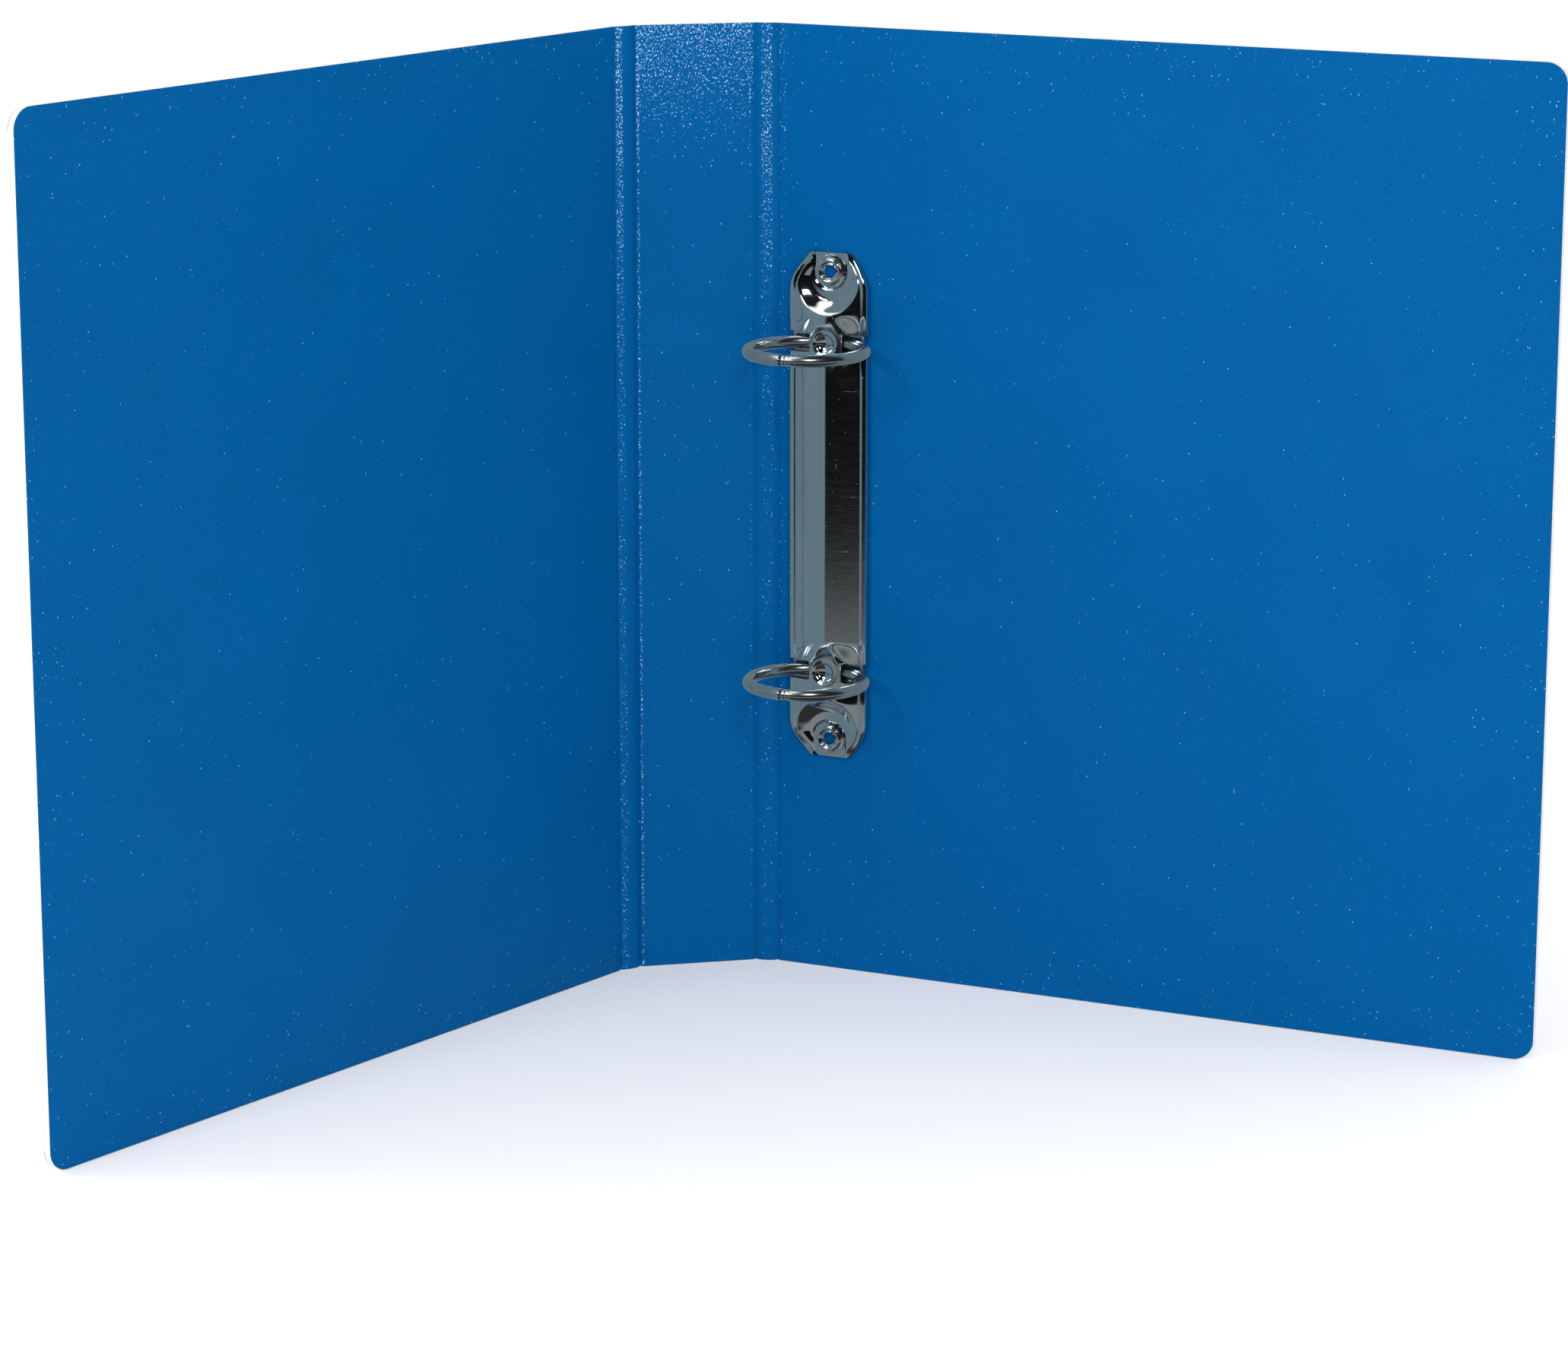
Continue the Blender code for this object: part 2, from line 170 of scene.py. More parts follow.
# Colours, linear
INNER_BLUES = (0.0, 0.094, 0.29), (0.0, 0.101, 0.31)
# Pale blue of the highlight glints painted into the inner film's colour
INNER_PAINTED_GLINT = (0.34, 0.57, 0.80)
# The outer film's blues: the darker one is painted shade in the grain's valleys, the lighter one its
# ridges; next, the pale blue of the highlights painted on the ridge tops
OUTER_SHADED_VALLEY_BLUES = (0.0, 0.086, 0.27), (0.001, 0.108, 0.33)
OUTER_PAINTED_HIGHLIGHT = (0.30, 0.52, 0.78)
BOARD_WHITES = (0.74, 0.735, 0.72), (0.86, 0.86, 0.855)
BOARD_SPECK = (0.66, 0.67, 0.68)
LABEL_WHITES = (0.86, 0.855, 0.855), (0.9, 0.9, 0.9)
HOUSING_GREYS = (0.60, 0.68, 0.71), (0.68, 0.76, 0.79)
RING_GREYS = (0.50, 0.56, 0.585), (0.58, 0.64, 0.665)
DUST = (0.5, 0.53, 0.55)
STEEL_GREYS = (0.36, 0.38, 0.40), (0.46, 0.48, 0.50)
LACQUER_BLUES = (0.0, 0.10, 0.36), (0.004, 0.13, 0.42)
FLOOR_WHITES = (0.93, 0.93, 0.93), (0.95, 0.95, 0.95)
CARD_GREYS = (0.165, 0.225, 0.26), (0.195, 0.265, 0.305)

# The studio, in metres and degrees
CAMERA_PLACE = (-0.2378, -1.1694, 0.3609)
CAMERA_DOWN = 13.663
CAMERA_TURN = -12.513
CAMERA_LENS = 116.33
SENSOR_WIDTH = 36.0
CLIP = 0.05, 20.0
FLOOR_HALF = 4.0
FLOOR_DROP = 0.0002
FLOOR_GLOW = 0.14
SOFTBOX_AIM = (0.03, -0.01, 0.12)
SOFTBOX_DISTANCE = 1.2
SOFTBOXES = (  # name, direction from the aim, size, power
    ("softbox_front", (-0.102, -0.851, 0.516), 0.22, 2.2),
    ("softbox_left", (-0.69, -0.537, 0.484), 0.26, 2.6),
    ("softbox_side", (-0.75, 0.05, 0.66), 0.26, 1.2),
    ("softbox_rear", (-0.60, 0.45, 0.66), 0.28, 1.2),
)

# The world's strength, to diffuse rays and to glossy rays by their direction
DIFFUSE_LEVEL = 0.95
GLOSS_LEVEL = 0.3
GLOSS_DARK = 0.004
GLOSS_FLOOR = 0.28
GLOSS_TOP = 1.6
DARK_SIDE = (0.5, -0.866, 0.0)
OVERHEAD = (-0.56, -0.03, 0.83)

# The cards: name, panel, and the s of both sides, in millimetres
CARD_LIFT = 1.5
CARD_MARGIN = 1.0
CARDS = (
    ("front_cover", "front_cover", 2.0, COVER_WIDTH),
    ("back_cover", "back_cover", 26.5, 190.0),
    ("spine", "spine", -14.0, 14.0),
    ("back_strip", "back_strip", 0.2, 5.6),
    ("back_cover_rim", "back_cover", 0.2, 3.6),
    ("front_strip", "front_strip", 0.2, 5.6),
)

FRONT, BACK = -1, 1


def smooth(t):
    t = np.clip(t, 0.0, 1.0)
    return t * t * (3 - 2 * t)


# ---------------------------------------------------------------- frames of the panels


class Plane:
    """A panel's frame: s along it, z up, depth towards the inside of the binder."""

    def __init__(self, origin, along, inward):
        self.origin = np.array(origin, float)
        self.along = np.array(along, float)
        self.inward = np.array(inward, float)

    def point(self, s, z, depth):
        x = self.origin[0] + s * self.along[0] + depth * self.inward[0]
        y = self.origin[1] + s * self.along[1] + depth * self.inward[1]
        return np.stack([x, y, z], axis=-1)


class Crease:
    """The bent patch between two panels: s is measured from the crease, on the flat sheet.

    It runs away from the spine, so the spine's own direction is turned round on the front side."""

    def __init__(self, near, far_along, side, origin):
        self.origin = np.array(origin, float)
        self.along = near.along * (side if side * near.along[0] < 0 else 1)
        self.inward = near.inward
        self.turn = math.atan2(
            self.along[0] * far_along[1] - self.along[1] * far_along[0],
            float(np.dot(self.along, far_along)),
        )

    def point(self, s, z, depth):
        angle = self.turn * smooth((s + HALF_GAP) / (2 * HALF_GAP))
        flat_x = s * self.along[0] + depth * self.inward[0]
        flat_y = s * self.along[1] + depth * self.inward[1]
        x = self.origin[0] + flat_x * np.cos(angle) - flat_y * np.sin(angle)
        y = self.origin[1] + flat_x * np.sin(angle) + flat_y * np.cos(angle)
        return np.stack([x, y, z], axis=-1)


def turned(side, angle):
    """Direction along a panel and towards its inside, folded by angle from the spine's plane."""
    along = (side * math.cos(angle), -math.sin(angle))
    inward = (-side * math.sin(angle), -math.cos(angle))
    return along, inward


SPINE = Plane((0, 0), (1, 0), (0, -1))
PLANES = {"spine": SPINE}
CREASES = {}
for word, side, fold in (("front", FRONT, FRONT_FOLD), ("back", BACK, BACK_FOLD)):
    first = (side * SPINE_PITCH / 2, 0.0)
    along, inward = turned(side, fold)
    strip = Plane(first, along, inward)
    second = strip.origin + STRIP_PITCH * strip.along
    along, inward = turned(side, 2 * fold)
    cover = Plane(second, along, inward)
    PLANES[word + "_strip"] = strip
    PLANES[word + "_cover"] = cover
    CREASES[word + "_strip"] = Crease(SPINE, strip.along, side, first)
    CREASES[word + "_cover"] = Crease(strip, cover.along, side, second)

BACK_PLANE = PLANES["back_cover"]


def on_mechanism(x, y, z):
    """World place, in millimetres, of a point in the ring mechanism's frame."""
    return BACK_PLANE.point(
        np.asarray(x) + MECHANISM_OFFSET, np.asarray(y) + HEIGHT / 2, np.asarray(z) + SKIN
    )


# ---------------------------------------------------------------- meshes


def make_object(name, points, faces, materials, sharp=35.0):
    """A mesh piece from millimetre points, with outward normals and smooth shading."""
    mesh = bpy.data.meshes.new(name)
    mesh.from_pydata((np.asarray(points, float).reshape(-1, 3) * MM).tolist(), [], faces)
    bm = bmesh.new()
    bm.from_mesh(mesh)
    bmesh.ops.recalc_face_normals(bm, faces=bm.faces)
    bm.to_mesh(mesh)
    bm.free()
    for made in materials:
        mesh.materials.append(made)
    obj = bpy.data.objects.new(name, mesh)
    bpy.context.scene.collection.objects.link(obj)
    shade(obj, sharp)
    return obj


def shade(obj, sharp=35.0):
    obj.data.shade_smooth()
    obj.data.set_sharp_from_angle(angle=math.radians(sharp))


def grid_faces(columns, rows, start=0):
    """Quads over a grid of points that runs row by row inside each column."""
    faces = []
    for i in range(columns - 1):
        near, far = start + i * rows, start + (i + 1) * rows
        for k in range(rows - 1):
            faces.append((near + k, far + k, far + k + 1, near + k + 1))
    return faces


def slab(
    name, place, columns, z_ends, low, high, rows, material, shift=0.0, free_end=None, painted_glint=None
):
    """A closed sheet over a patch of a panel, between the depths low and high.

    z_ends(s) gives the patch's lower and upper end; free_end is the s of an outer edge. Each vertex
    keeps its place on the flat sheet in the attribute "sheet", and in a second attribute how much painted
    highlight glint it gets."""
    columns = np.asarray(columns, float)
    grid_z = []
    for s in columns:
        bottom, top = z_ends(s)
        middle = np.linspace(bottom + END_BAND, top - END_BAND, rows)
        grid_z.append(np.concatenate([bottom + NEAR_END, middle, top - NEAR_END[::-1]]))
    grid_z = np.array(grid_z)
    count = grid_z.shape[1]
    grid_s = np.repeat(columns[:, None], count, axis=1)
    edge = np.minimum(grid_z - grid_z[:, :1], grid_z[:, -1:] - grid_z)
    if free_end is not None:
        edge = np.minimum(edge, np.abs(free_end - grid_s))
    total = len(columns) * count
    points = np.concatenate(
        [
            place(grid_s, grid_z, low(grid_s, grid_z, edge)).reshape(-1, 3),
            place(grid_s, grid_z, high(grid_s, grid_z, edge)).reshape(-1, 3),
        ]
    )
    faces = grid_faces(len(columns), count) + grid_faces(len(columns), count, total)
    rim = [i * count for i in range(len(columns))]
    rim += [(len(columns) - 1) * count + k for k in range(1, count)]
    rim += [i * count + count - 1 for i in range(len(columns) - 2, -1, -1)]
    rim += [k for k in range(count - 2, 0, -1)]
    for a, b in zip(rim, rim[1:] + rim[:1]):
        faces.append((a, b, b + total, a + total))
    obj = make_object(name, points, faces, [material])
    flat = np.zeros((total, 3))
    flat[:, 0] = grid_s.ravel() + shift
    flat[:, 1] = grid_z.ravel()
    add_attribute(obj, "sheet", "FLOAT_VECTOR", np.concatenate([flat, flat]))
    if painted_glint is not None:
        amount = painted_glint(flat[:, 0], flat[:, 1])
        add_attribute(obj, "painted_glint", "FLOAT", np.concatenate([amount, amount]))
    return obj


def add_attribute(obj, name, kind, values):
    made = obj.data.attributes.new(name, kind, "POINT")
    field = "vector" if kind == "FLOAT_VECTOR" else "value"
    made.data.foreach_set(field, np.asarray(values, np.float32).ravel())


# ---------------------------------------------------------------- materials


class Tree:
    """Short calls for a node tree."""

    def __init__(self, tree):
        self.tree = tree

    def new(self, kind, **values):
        node = self.tree.nodes.new(kind)
        for key, value in values.items():
            setattr(node, key, value)
        return node

    def link(self, source, target):
        self.tree.links.new(source, target)

    def feed(self, socket, value):
        """Links a socket or sets its number."""
        if isinstance(value, bpy.types.NodeSocket):
            self.link(value, socket)
        else:
            socket.default_value = value

    def ramp(self, value, low, high, to_low=0.0, to_high=1.0, kind="LINEAR"):
        node = self.new("ShaderNodeMapRange", interpolation_type=kind)
        self.feed(node.inputs["Value"], value)
        for key, amount in (
            ("From Min", low), ("From Max", high), ("To Min", to_low), ("To Max", to_high)
        ):
            node.inputs[key].default_value = amount
        return node.outputs["Result"]

    def math(self, operation, first, second):
        node = self.new("ShaderNodeMath", operation=operation)
        for socket, value in zip(node.inputs, (first, second)):
            self.feed(socket, value)
        return node.outputs["Value"]


class Nodes(Tree):
    """A new material's node tree."""

    def __init__(self, name):
        self.material = bpy.data.materials.new(name)
        self.material.use_nodes = True
        super().__init__(self.material.node_tree)
        self.shader = self.tree.nodes["Principled BSDF"]

    def sheet(self, scale, turn=0.0):
        """The place on the flat sheet, stretched by scale, in cells to the millimetre."""
        source = self.new("ShaderNodeAttribute", attribute_name="sheet")
        mapping = self.new("ShaderNodeMapping")
        mapping.inputs["Rotation"].default_value = (0, 0, turn)
        mapping.inputs["Scale"].default_value = scale
        self.link(source.outputs["Vector"], mapping.inputs["Vector"])
        return mapping.outputs["Vector"]

    def body(self, scale):
        """The place in the object at rest, in cells to the millimetre."""
        source = self.new("ShaderNodeTexCoord")
        mapping = self.new("ShaderNodeMapping")
        mapping.inputs["Scale"].default_value = tuple(1000.0 * part for part in scale)
        self.link(source.outputs["Object"], mapping.inputs["Vector"])
        return mapping.outputs["Vector"]

    def noise(self, vector, detail=3.0, roughness=0.5, distortion=0.0):
        node = self.new("ShaderNodeTexNoise")
        self.link(vector, node.inputs["Vector"])
        for key, value in (
            ("Scale", 1.0), ("Detail", detail), ("Roughness", roughness), ("Distortion", distortion)
        ):
            node.inputs[key].default_value = value
        return node.outputs["Fac"]

    def cells(self, vector):
        """The distance to the nearest cell's middle, and a random number for that cell."""
        node = self.new("ShaderNodeTexVoronoi")
        self.link(vector, node.inputs["Vector"])
        node.inputs["Scale"].default_value = 1.0
        split = self.new("ShaderNodeSeparateColor")
        self.link(node.outputs["Color"], split.inputs["Color"])
        return node.outputs["Distance"], split.outputs["Red"]

    def mix(self, factor, first, second):
        node = self.new("ShaderNodeMix", data_type="RGBA")
        self.feed(node.inputs["Factor"], factor)
        colours = [socket for socket in node.inputs if socket.type == "RGBA"]
        for socket, value in zip(colours, (first, second)):
            self.feed(socket, (*value, 1.0) if isinstance(value, tuple) else value)
        return next(socket for socket in node.outputs if socket.type == "RGBA")

    def bump(self, height, strength, distance):
        node = self.new("ShaderNodeBump")
        self.link(height, node.inputs["Height"])
        node.inputs["Strength"].default_value = strength
        node.inputs["Distance"].default_value = distance * MM
        self.link(node.outputs["Normal"], self.shader.inputs["Normal"])

    def set(self, **values):
        for key, value in values.items():
            self.feed(self.shader.inputs[key.replace("_", " ")], value)
        return self.material


def inner_film_material():
    """Smooth blue polypropylene with a fine bump grain and pale highlight glints painted into its colour.
    """
    n = Nodes("inner_film_blue")
    clump = n.ramp(n.noise(n.sheet((0.07, 0.07, 1)), detail=2.0), 0.35, 0.65, -0.02, 0.02)
    density = n.new("ShaderNodeAttribute", attribute_name="painted_glint").outputs["Fac"]
    level = n.math("ADD", n.ramp(density, 0.0, 0.7, 0.27, 0.045), clump)
    glint_field = n.math("SUBTRACT", n.noise(n.sheet((2.6, 2.0, 1), 0.3), detail=1.0, distortion=0.4), level)
    near, chance = n.cells(n.sheet((1.7, 1.2, 1), -0.35))
    few = n.math("MULTIPLY", density, 0.5)
    dot = n.math("MULTIPLY", n.ramp(near, 0.12, 0.28, 1.0, 0.0), n.math("LESS_THAN", chance, few))
    # painted highlight glints: pale flecks and dots, mixed into the colour and raised a little in the bump
    painted_glint_mask = n.math("MAXIMUM", n.ramp(glint_field, 0.5, 0.56), n.math("MULTIPLY", dot, 0.8))
    cloud = n.noise(n.sheet((0.03, 0.03, 1)), detail=4.0)
    blue = n.mix(n.ramp(cloud, 0.3, 0.7), *INNER_BLUES)
    colour = n.mix(painted_glint_mask, blue, INNER_PAINTED_GLINT)
    grain = n.noise(n.sheet((5.0, 5.0, 1)), detail=2.0)
    height = n.math("ADD", n.math("MULTIPLY", grain, 0.5), n.math("MULTIPLY", painted_glint_mask, 1.5))
    n.bump(height, 0.35, 0.05)
    rough = n.ramp(n.noise(n.sheet((0.4, 0.4, 1)), detail=4.0), 0.25, 0.75, 0.36, 0.46)
    return n.set(Base_Color=colour, Roughness=rough, Specular_IOR_Level=0.03)


def outer_film_material():
    """Blue film with a leather-like grain: short raised dashes in slanting rows, with painted shade in the
    grain's valleys and painted highlights on its ridge tops.
    """
    n = Nodes("outer_film_blue")
    wander = n.noise(n.sheet((0.5, 0.5, 1)), detail=2.0)
    vector = n.sheet((2.3, 0.85, 1), 0.42)
    ridges = n.noise(vector, detail=1.5, roughness=0.4, distortion=0.35)
    fine = n.noise(n.sheet((5.0, 2.2, 1), 0.35), detail=2.0)
    height = n.math("ADD", n.ramp(ridges, 0.42, 0.66), n.math("MULTIPLY", fine, 0.35))
    # painted highlights on the ridge tops, stronger in patches
    painted_ridge_highlight = n.math("MULTIPLY", n.ramp(ridges, 0.60, 0.68), n.ramp(fine, 0.42, 0.6))
    painted_ridge_highlight = n.math("MULTIPLY", painted_ridge_highlight, n.ramp(wander, 0.35, 0.6, 0.35, 1.0))
    # painted shade: the grain's valleys a darker blue than its ridges
    blue = n.mix(n.ramp(ridges, 0.3, 0.6), *OUTER_SHADED_VALLEY_BLUES)
    colour = n.mix(painted_ridge_highlight, blue, OUTER_PAINTED_HIGHLIGHT)
    n.bump(height, 0.55, 0.09)
    rough = n.ramp(fine, 0.3, 0.7, 0.3, 0.44)
    return n.set(Base_Color=colour, Roughness=rough, Specular_IOR_Level=0.2)


def board_material():
    """White solid board: pale fibres and thin plies along the cut edge."""
    n = Nodes("white_board")
    fibres = n.noise(n.body((1.2, 1.2, 9.0)), detail=5.0, roughness=0.65)
    specks = n.noise(n.body((3.0, 3.0, 3.0)), detail=3.0)
    tone = n.mix(n.ramp(fibres, 0.3, 0.7), *BOARD_WHITES)
    colour = n.mix(n.ramp(specks, 0.66, 0.74), tone, BOARD_SPECK)
    n.bump(fibres, 0.5, 0.12)
    return n.set(Base_Color=colour, Roughness=0.85, Specular_IOR_Level=0.3)


def label_material():
    """Uncoated white label paper."""
    n = Nodes("label_paper")
    fibres = n.noise(n.sheet((1.6, 1.6, 1)), detail=6.0, roughness=0.7)
    tone = n.mix(n.ramp(fibres, 0.35, 0.65), *LABEL_WHITES)
    n.bump(fibres, 0.25, 0.04)
    return n.set(Base_Color=tone, Roughness=0.6, Specular_IOR_Level=0.35)


def nickel_material(name, shine=0.05, wear=1.0, greys=HOUSING_GREYS):
    """Bright nickel plate with faint rolling marks, a haze in patches, dust and a few scratches."""
    n = Nodes(name)
    haze = n.ramp(n.noise(n.body((0.09, 0.09, 0.05)), detail=4.0), 0.48, 0.72)
    marks = n.noise(n.body((0.25, 0.25, 7.0)), detail=4.0, roughness=0.6)
    near, chance = n.cells(n.body((1.5, 1.5, 1.5)))
    dusty = n.math("LESS_THAN", chance, 0.05 * wear)
    dust = n.math("MULTIPLY", n.ramp(near, 0.1, 0.22, 1.0, 0.0), dusty)
    along, pick = n.cells(n.body((0.12, 0.12, 3.0)))
    scratched = n.math("LESS_THAN", pick, 0.012 * wear)
    scratch = n.math("MULTIPLY", n.ramp(along, 0.1, 0.3, 1.0, 0.0), scratched)
    broken = n.ramp(n.noise(n.body((1.5, 1.5, 1.5)), detail=2.0), 0.42, 0.6)
    dust = n.math("MAXIMUM", dust, n.math("MULTIPLY", scratch, broken))
    tone = n.mix(n.ramp(marks, 0.35, 0.65), *greys)
    colour = n.mix(dust, tone, DUST)
    polish = n.ramp(marks, 0.35, 0.65, shine, shine + 0.04)
    rough = n.math("ADD", polish, n.math("MULTIPLY", haze, 0.07 * wear))
    rough = n.math("ADD", rough, n.math("MULTIPLY", dust, 0.5))
    height = n.math("ADD", n.math("MULTIPLY", marks, 0.12), n.math("MULTIPLY", dust, 1.5))
    n.bump(height, 0.07, 0.02)
    return n.set(Base_Color=colour, Roughness=rough, Metallic=1.0)


def blade_material():
    """Cold-rolled spring steel, duller than the housing over it."""
    n = Nodes("blade_steel")
    rolled = n.noise(n.body((0.6, 0.6, 5.0)), detail=5.0)
    tone = n.mix(n.ramp(rolled, 0.35, 0.65), *STEEL_GREYS)
    n.bump(rolled, 0.15, 0.03)
    return n.set(Base_Color=tone, Roughness=n.ramp(rolled, 0.3, 0.7, 0.28, 0.4), Metallic=1.0)


def lacquer_material():
    """Glossy blue lacquer on the rivets' outer heads and in their bores."""
    n = Nodes("blue_lacquer")
    orange_peel = n.noise(n.body((0.7, 0.7, 0.7)), detail=2.0)
    tone = n.mix(n.ramp(orange_peel, 0.35, 0.65), *LACQUER_BLUES)
    n.bump(orange_peel, 0.1, 0.05)
    return n.set(Base_Color=tone, Roughness=0.16, Coat_Weight=0.6, Coat_Roughness=0.05)


# ---------------------------------------------------------------- the folded cover


def cover_ends(s):
    """The lower and upper end of a cover at s, with its two rounded fore-edge corners."""
    past = max(0.0, s - (COVER_WIDTH - CORNER))
    cut = CORNER - math.sqrt(max(0.0, CORNER**2 - past**2))
    return cut, HEIGHT - cut


def inset_ends(ends, inset):
    def moved(s):
        bottom, top = ends(s)
        return bottom + inset, top - inset

    return moved


def full_height(s):
    return 0.0, HEIGHT


def cover_columns():
    """Close beside the crease and round the corners, and wide between them."""
    start = HALF_GAP + np.concatenate([NEAR_CREASE, [0.75, 1.1, 1.6, 2.2, 3.0, 4.5, 7.0]])
    middle = np.linspace(12.0, COVER_WIDTH - CORNER, 30)
    turn = np.linspace(0.0, math.pi / 2, 14)[1:]
    corner = COVER_WIDTH - CORNER + CORNER * np.sin(turn)
    last = [COVER_WIDTH - 0.12, COVER_WIDTH - 0.04]
    return np.unique(np.concatenate([start, middle, corner, last]))


def strip_columns():
    middle = np.linspace(1.3, STRIP_PITCH - 1.3, 13)
    last = STRIP_PITCH - HALF_GAP - NEAR_CREASE[::-1]
    return np.concatenate([HALF_GAP + NEAR_CREASE, middle, last])


def spine_columns():
    fine = np.concatenate([NEAR_CREASE, [0.75, 1.1]])
    half = SPINE_PITCH / 2 - HALF_GAP
    return np.concatenate([-half + fine, np.linspace(-half + 1.6, half - 1.6, 26), half - fine[::-1]])


def shoulder(distance):
    """How far a film dips as it nears a crease."""
    return DIP * (1 - smooth(distance / DIP_REACH))


def edge_round(edge):
    """How far a layer rounds off at its edges."""
    return DIP * (1 - smooth(edge / EDGE_REACH))


def panel_depth(kind):
    """What a panel's layers share at s: how far the panel bows, and how far its films dip."""

    def bow(s):
        if kind != "strip":
            return 0.0 * s
        across = np.clip((s - HALF_GAP) / (STRIP_PITCH - 2 * HALF_GAP), 0, 1)
        return BULGE * 4 * across * (1 - across)

    def dip(s):
        if kind == "strip":
            return shoulder(np.minimum(s - HALF_GAP, STRIP_PITCH - HALF_GAP - s))
        if kind == "spine":
            return shoulder(SPINE_PITCH / 2 - HALF_GAP - np.abs(s))
        return shoulder(s - HALF_GAP)

    return bow, dip


def inner_painted_glints(s, z):
    """How thickly highlight glints are painted into the inner film at a place on the flat sheet: dense at
    the spine's top and fading downwards, in bands by the creases, near the mechanism and near the covers'
    edges.
    """
    top = smooth((z - (HEIGHT - 40.0)) / 40.0)
    fading = 0.55 + 0.45 * smooth((z - 120.0) / 100.0)
    amount = np.full_like(s, 0.012)
    # painted highlight glints, dense at the spine's top
    spine = np.abs(s) < SPINE_PITCH / 2
    amount = np.where(spine, 0.02 + 0.62 * top, amount)
    for first, last, level, fade in PAINTED_GLINT_BANDS:
        amount += np.where((s > first) & (s < last), level * fading**fade, 0.0)
    x = s - (SPINE_PITCH / 2 + STRIP_PITCH + MECHANISM_OFFSET)
    y = z - HEIGHT / 2
    # painted highlight glints along an arc beyond each end of the housing
    pressed = np.abs(np.hypot(x, np.abs(y) - 52.0) - 12.6) < 0.9
    amount += np.where(pressed & (np.abs(y) > 54.0) & (x > 5.0), 0.3, 0.0)
    # painted highlight glints along both sides of the housing
    amount += np.where((np.abs(x) > 10.5) & (np.abs(x) < 13.5) & (np.abs(y) < 58.0), 0.03, 0.0)
    # painted highlight glints thickening towards the covers' edges
    fore_edge = SPINE_PITCH / 2 + STRIP_PITCH + COVER_WIDTH
    edge = np.minimum(np.minimum(z, HEIGHT - z), fore_edge - np.abs(s))
    cover = np.abs(s) > SPINE_PITCH / 2 + STRIP_PITCH
    amount += np.where(cover, 0.10 * np.exp(-np.maximum(edge, 0.0) / 7.0), 0.0)
    return amount


def add_panel(name, kind, materials):
    plane = PLANES[name]
    side = FRONT if name.startswith("front") else BACK
    bow, dip = panel_depth(kind)
    shift = {"spine": 0.0, "strip": SPINE_PITCH / 2, "cover": SPINE_PITCH / 2 + STRIP_PITCH}[kind]
    columns = {"spine": spine_columns, "strip": strip_columns, "cover": cover_columns}[kind]()
    ends = cover_ends if kind == "cover" else full_height
    film_columns = columns
    film_ends = inset_ends(ends, FILM_INSET)
    free = None
    if kind == "cover":
        film_columns = np.where(columns > COVER_WIDTH - FILM_INSET, COVER_WIDTH - FILM_INSET, columns)
        film_columns = np.unique(film_columns)
        free = COVER_WIDTH - FILM_INSET

    # where this panel's inner film gets painted highlight glints
    def painted_glint(s, z):
        return inner_painted_glints(side * s, z)

    layers = {
        "board": (
            materials["board"],
            lambda s, z, e: bow(s) - CORE + LAYER_GAP + edge_round(e),
            lambda s, z, e: bow(s) - dip(s) + CORE - LAYER_GAP - edge_round(e),
            columns, ends, None,
        ),
        "outer_film": (
            materials["outer"],
            lambda s, z, e: bow(s) - SKIN + 0.5 * dip(s) + edge_round(e),
            lambda s, z, e: bow(s) - SKIN + 0.5 * dip(s) + FILM,
            film_columns, film_ends, free,
        ),
        "inner_film": (
            materials["inner"],
            lambda s, z, e: bow(s) + SKIN - dip(s) - FILM,
            lambda s, z, e: bow(s) + SKIN - dip(s) - edge_round(e),
            film_columns, film_ends, free,
        ),
    }
    for layer, (surface, low, high, layer_columns, layer_ends, free_end) in layers.items():
        piece = slab(
            f"{name}_{layer}_piece", plane.point, layer_columns, layer_ends, low, high, PANEL_ROWS,
            surface, shift=shift, free_end=free_end, painted_glint=painted_glint,
        )
        if side == FRONT:
            mirror_sheet(piece)
        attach(piece, name)
        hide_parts(f"{name}_{layer}")


def mirror_sheet(piece):
    """The front side's sheet places run to the left of the spine."""
    data = piece.data.attributes["sheet"].data
    values = np.empty(len(data) * 3, np.float32)
    data.foreach_get("vector", values)
    values[0::3] *= -1
    data.foreach_set("vector", values)


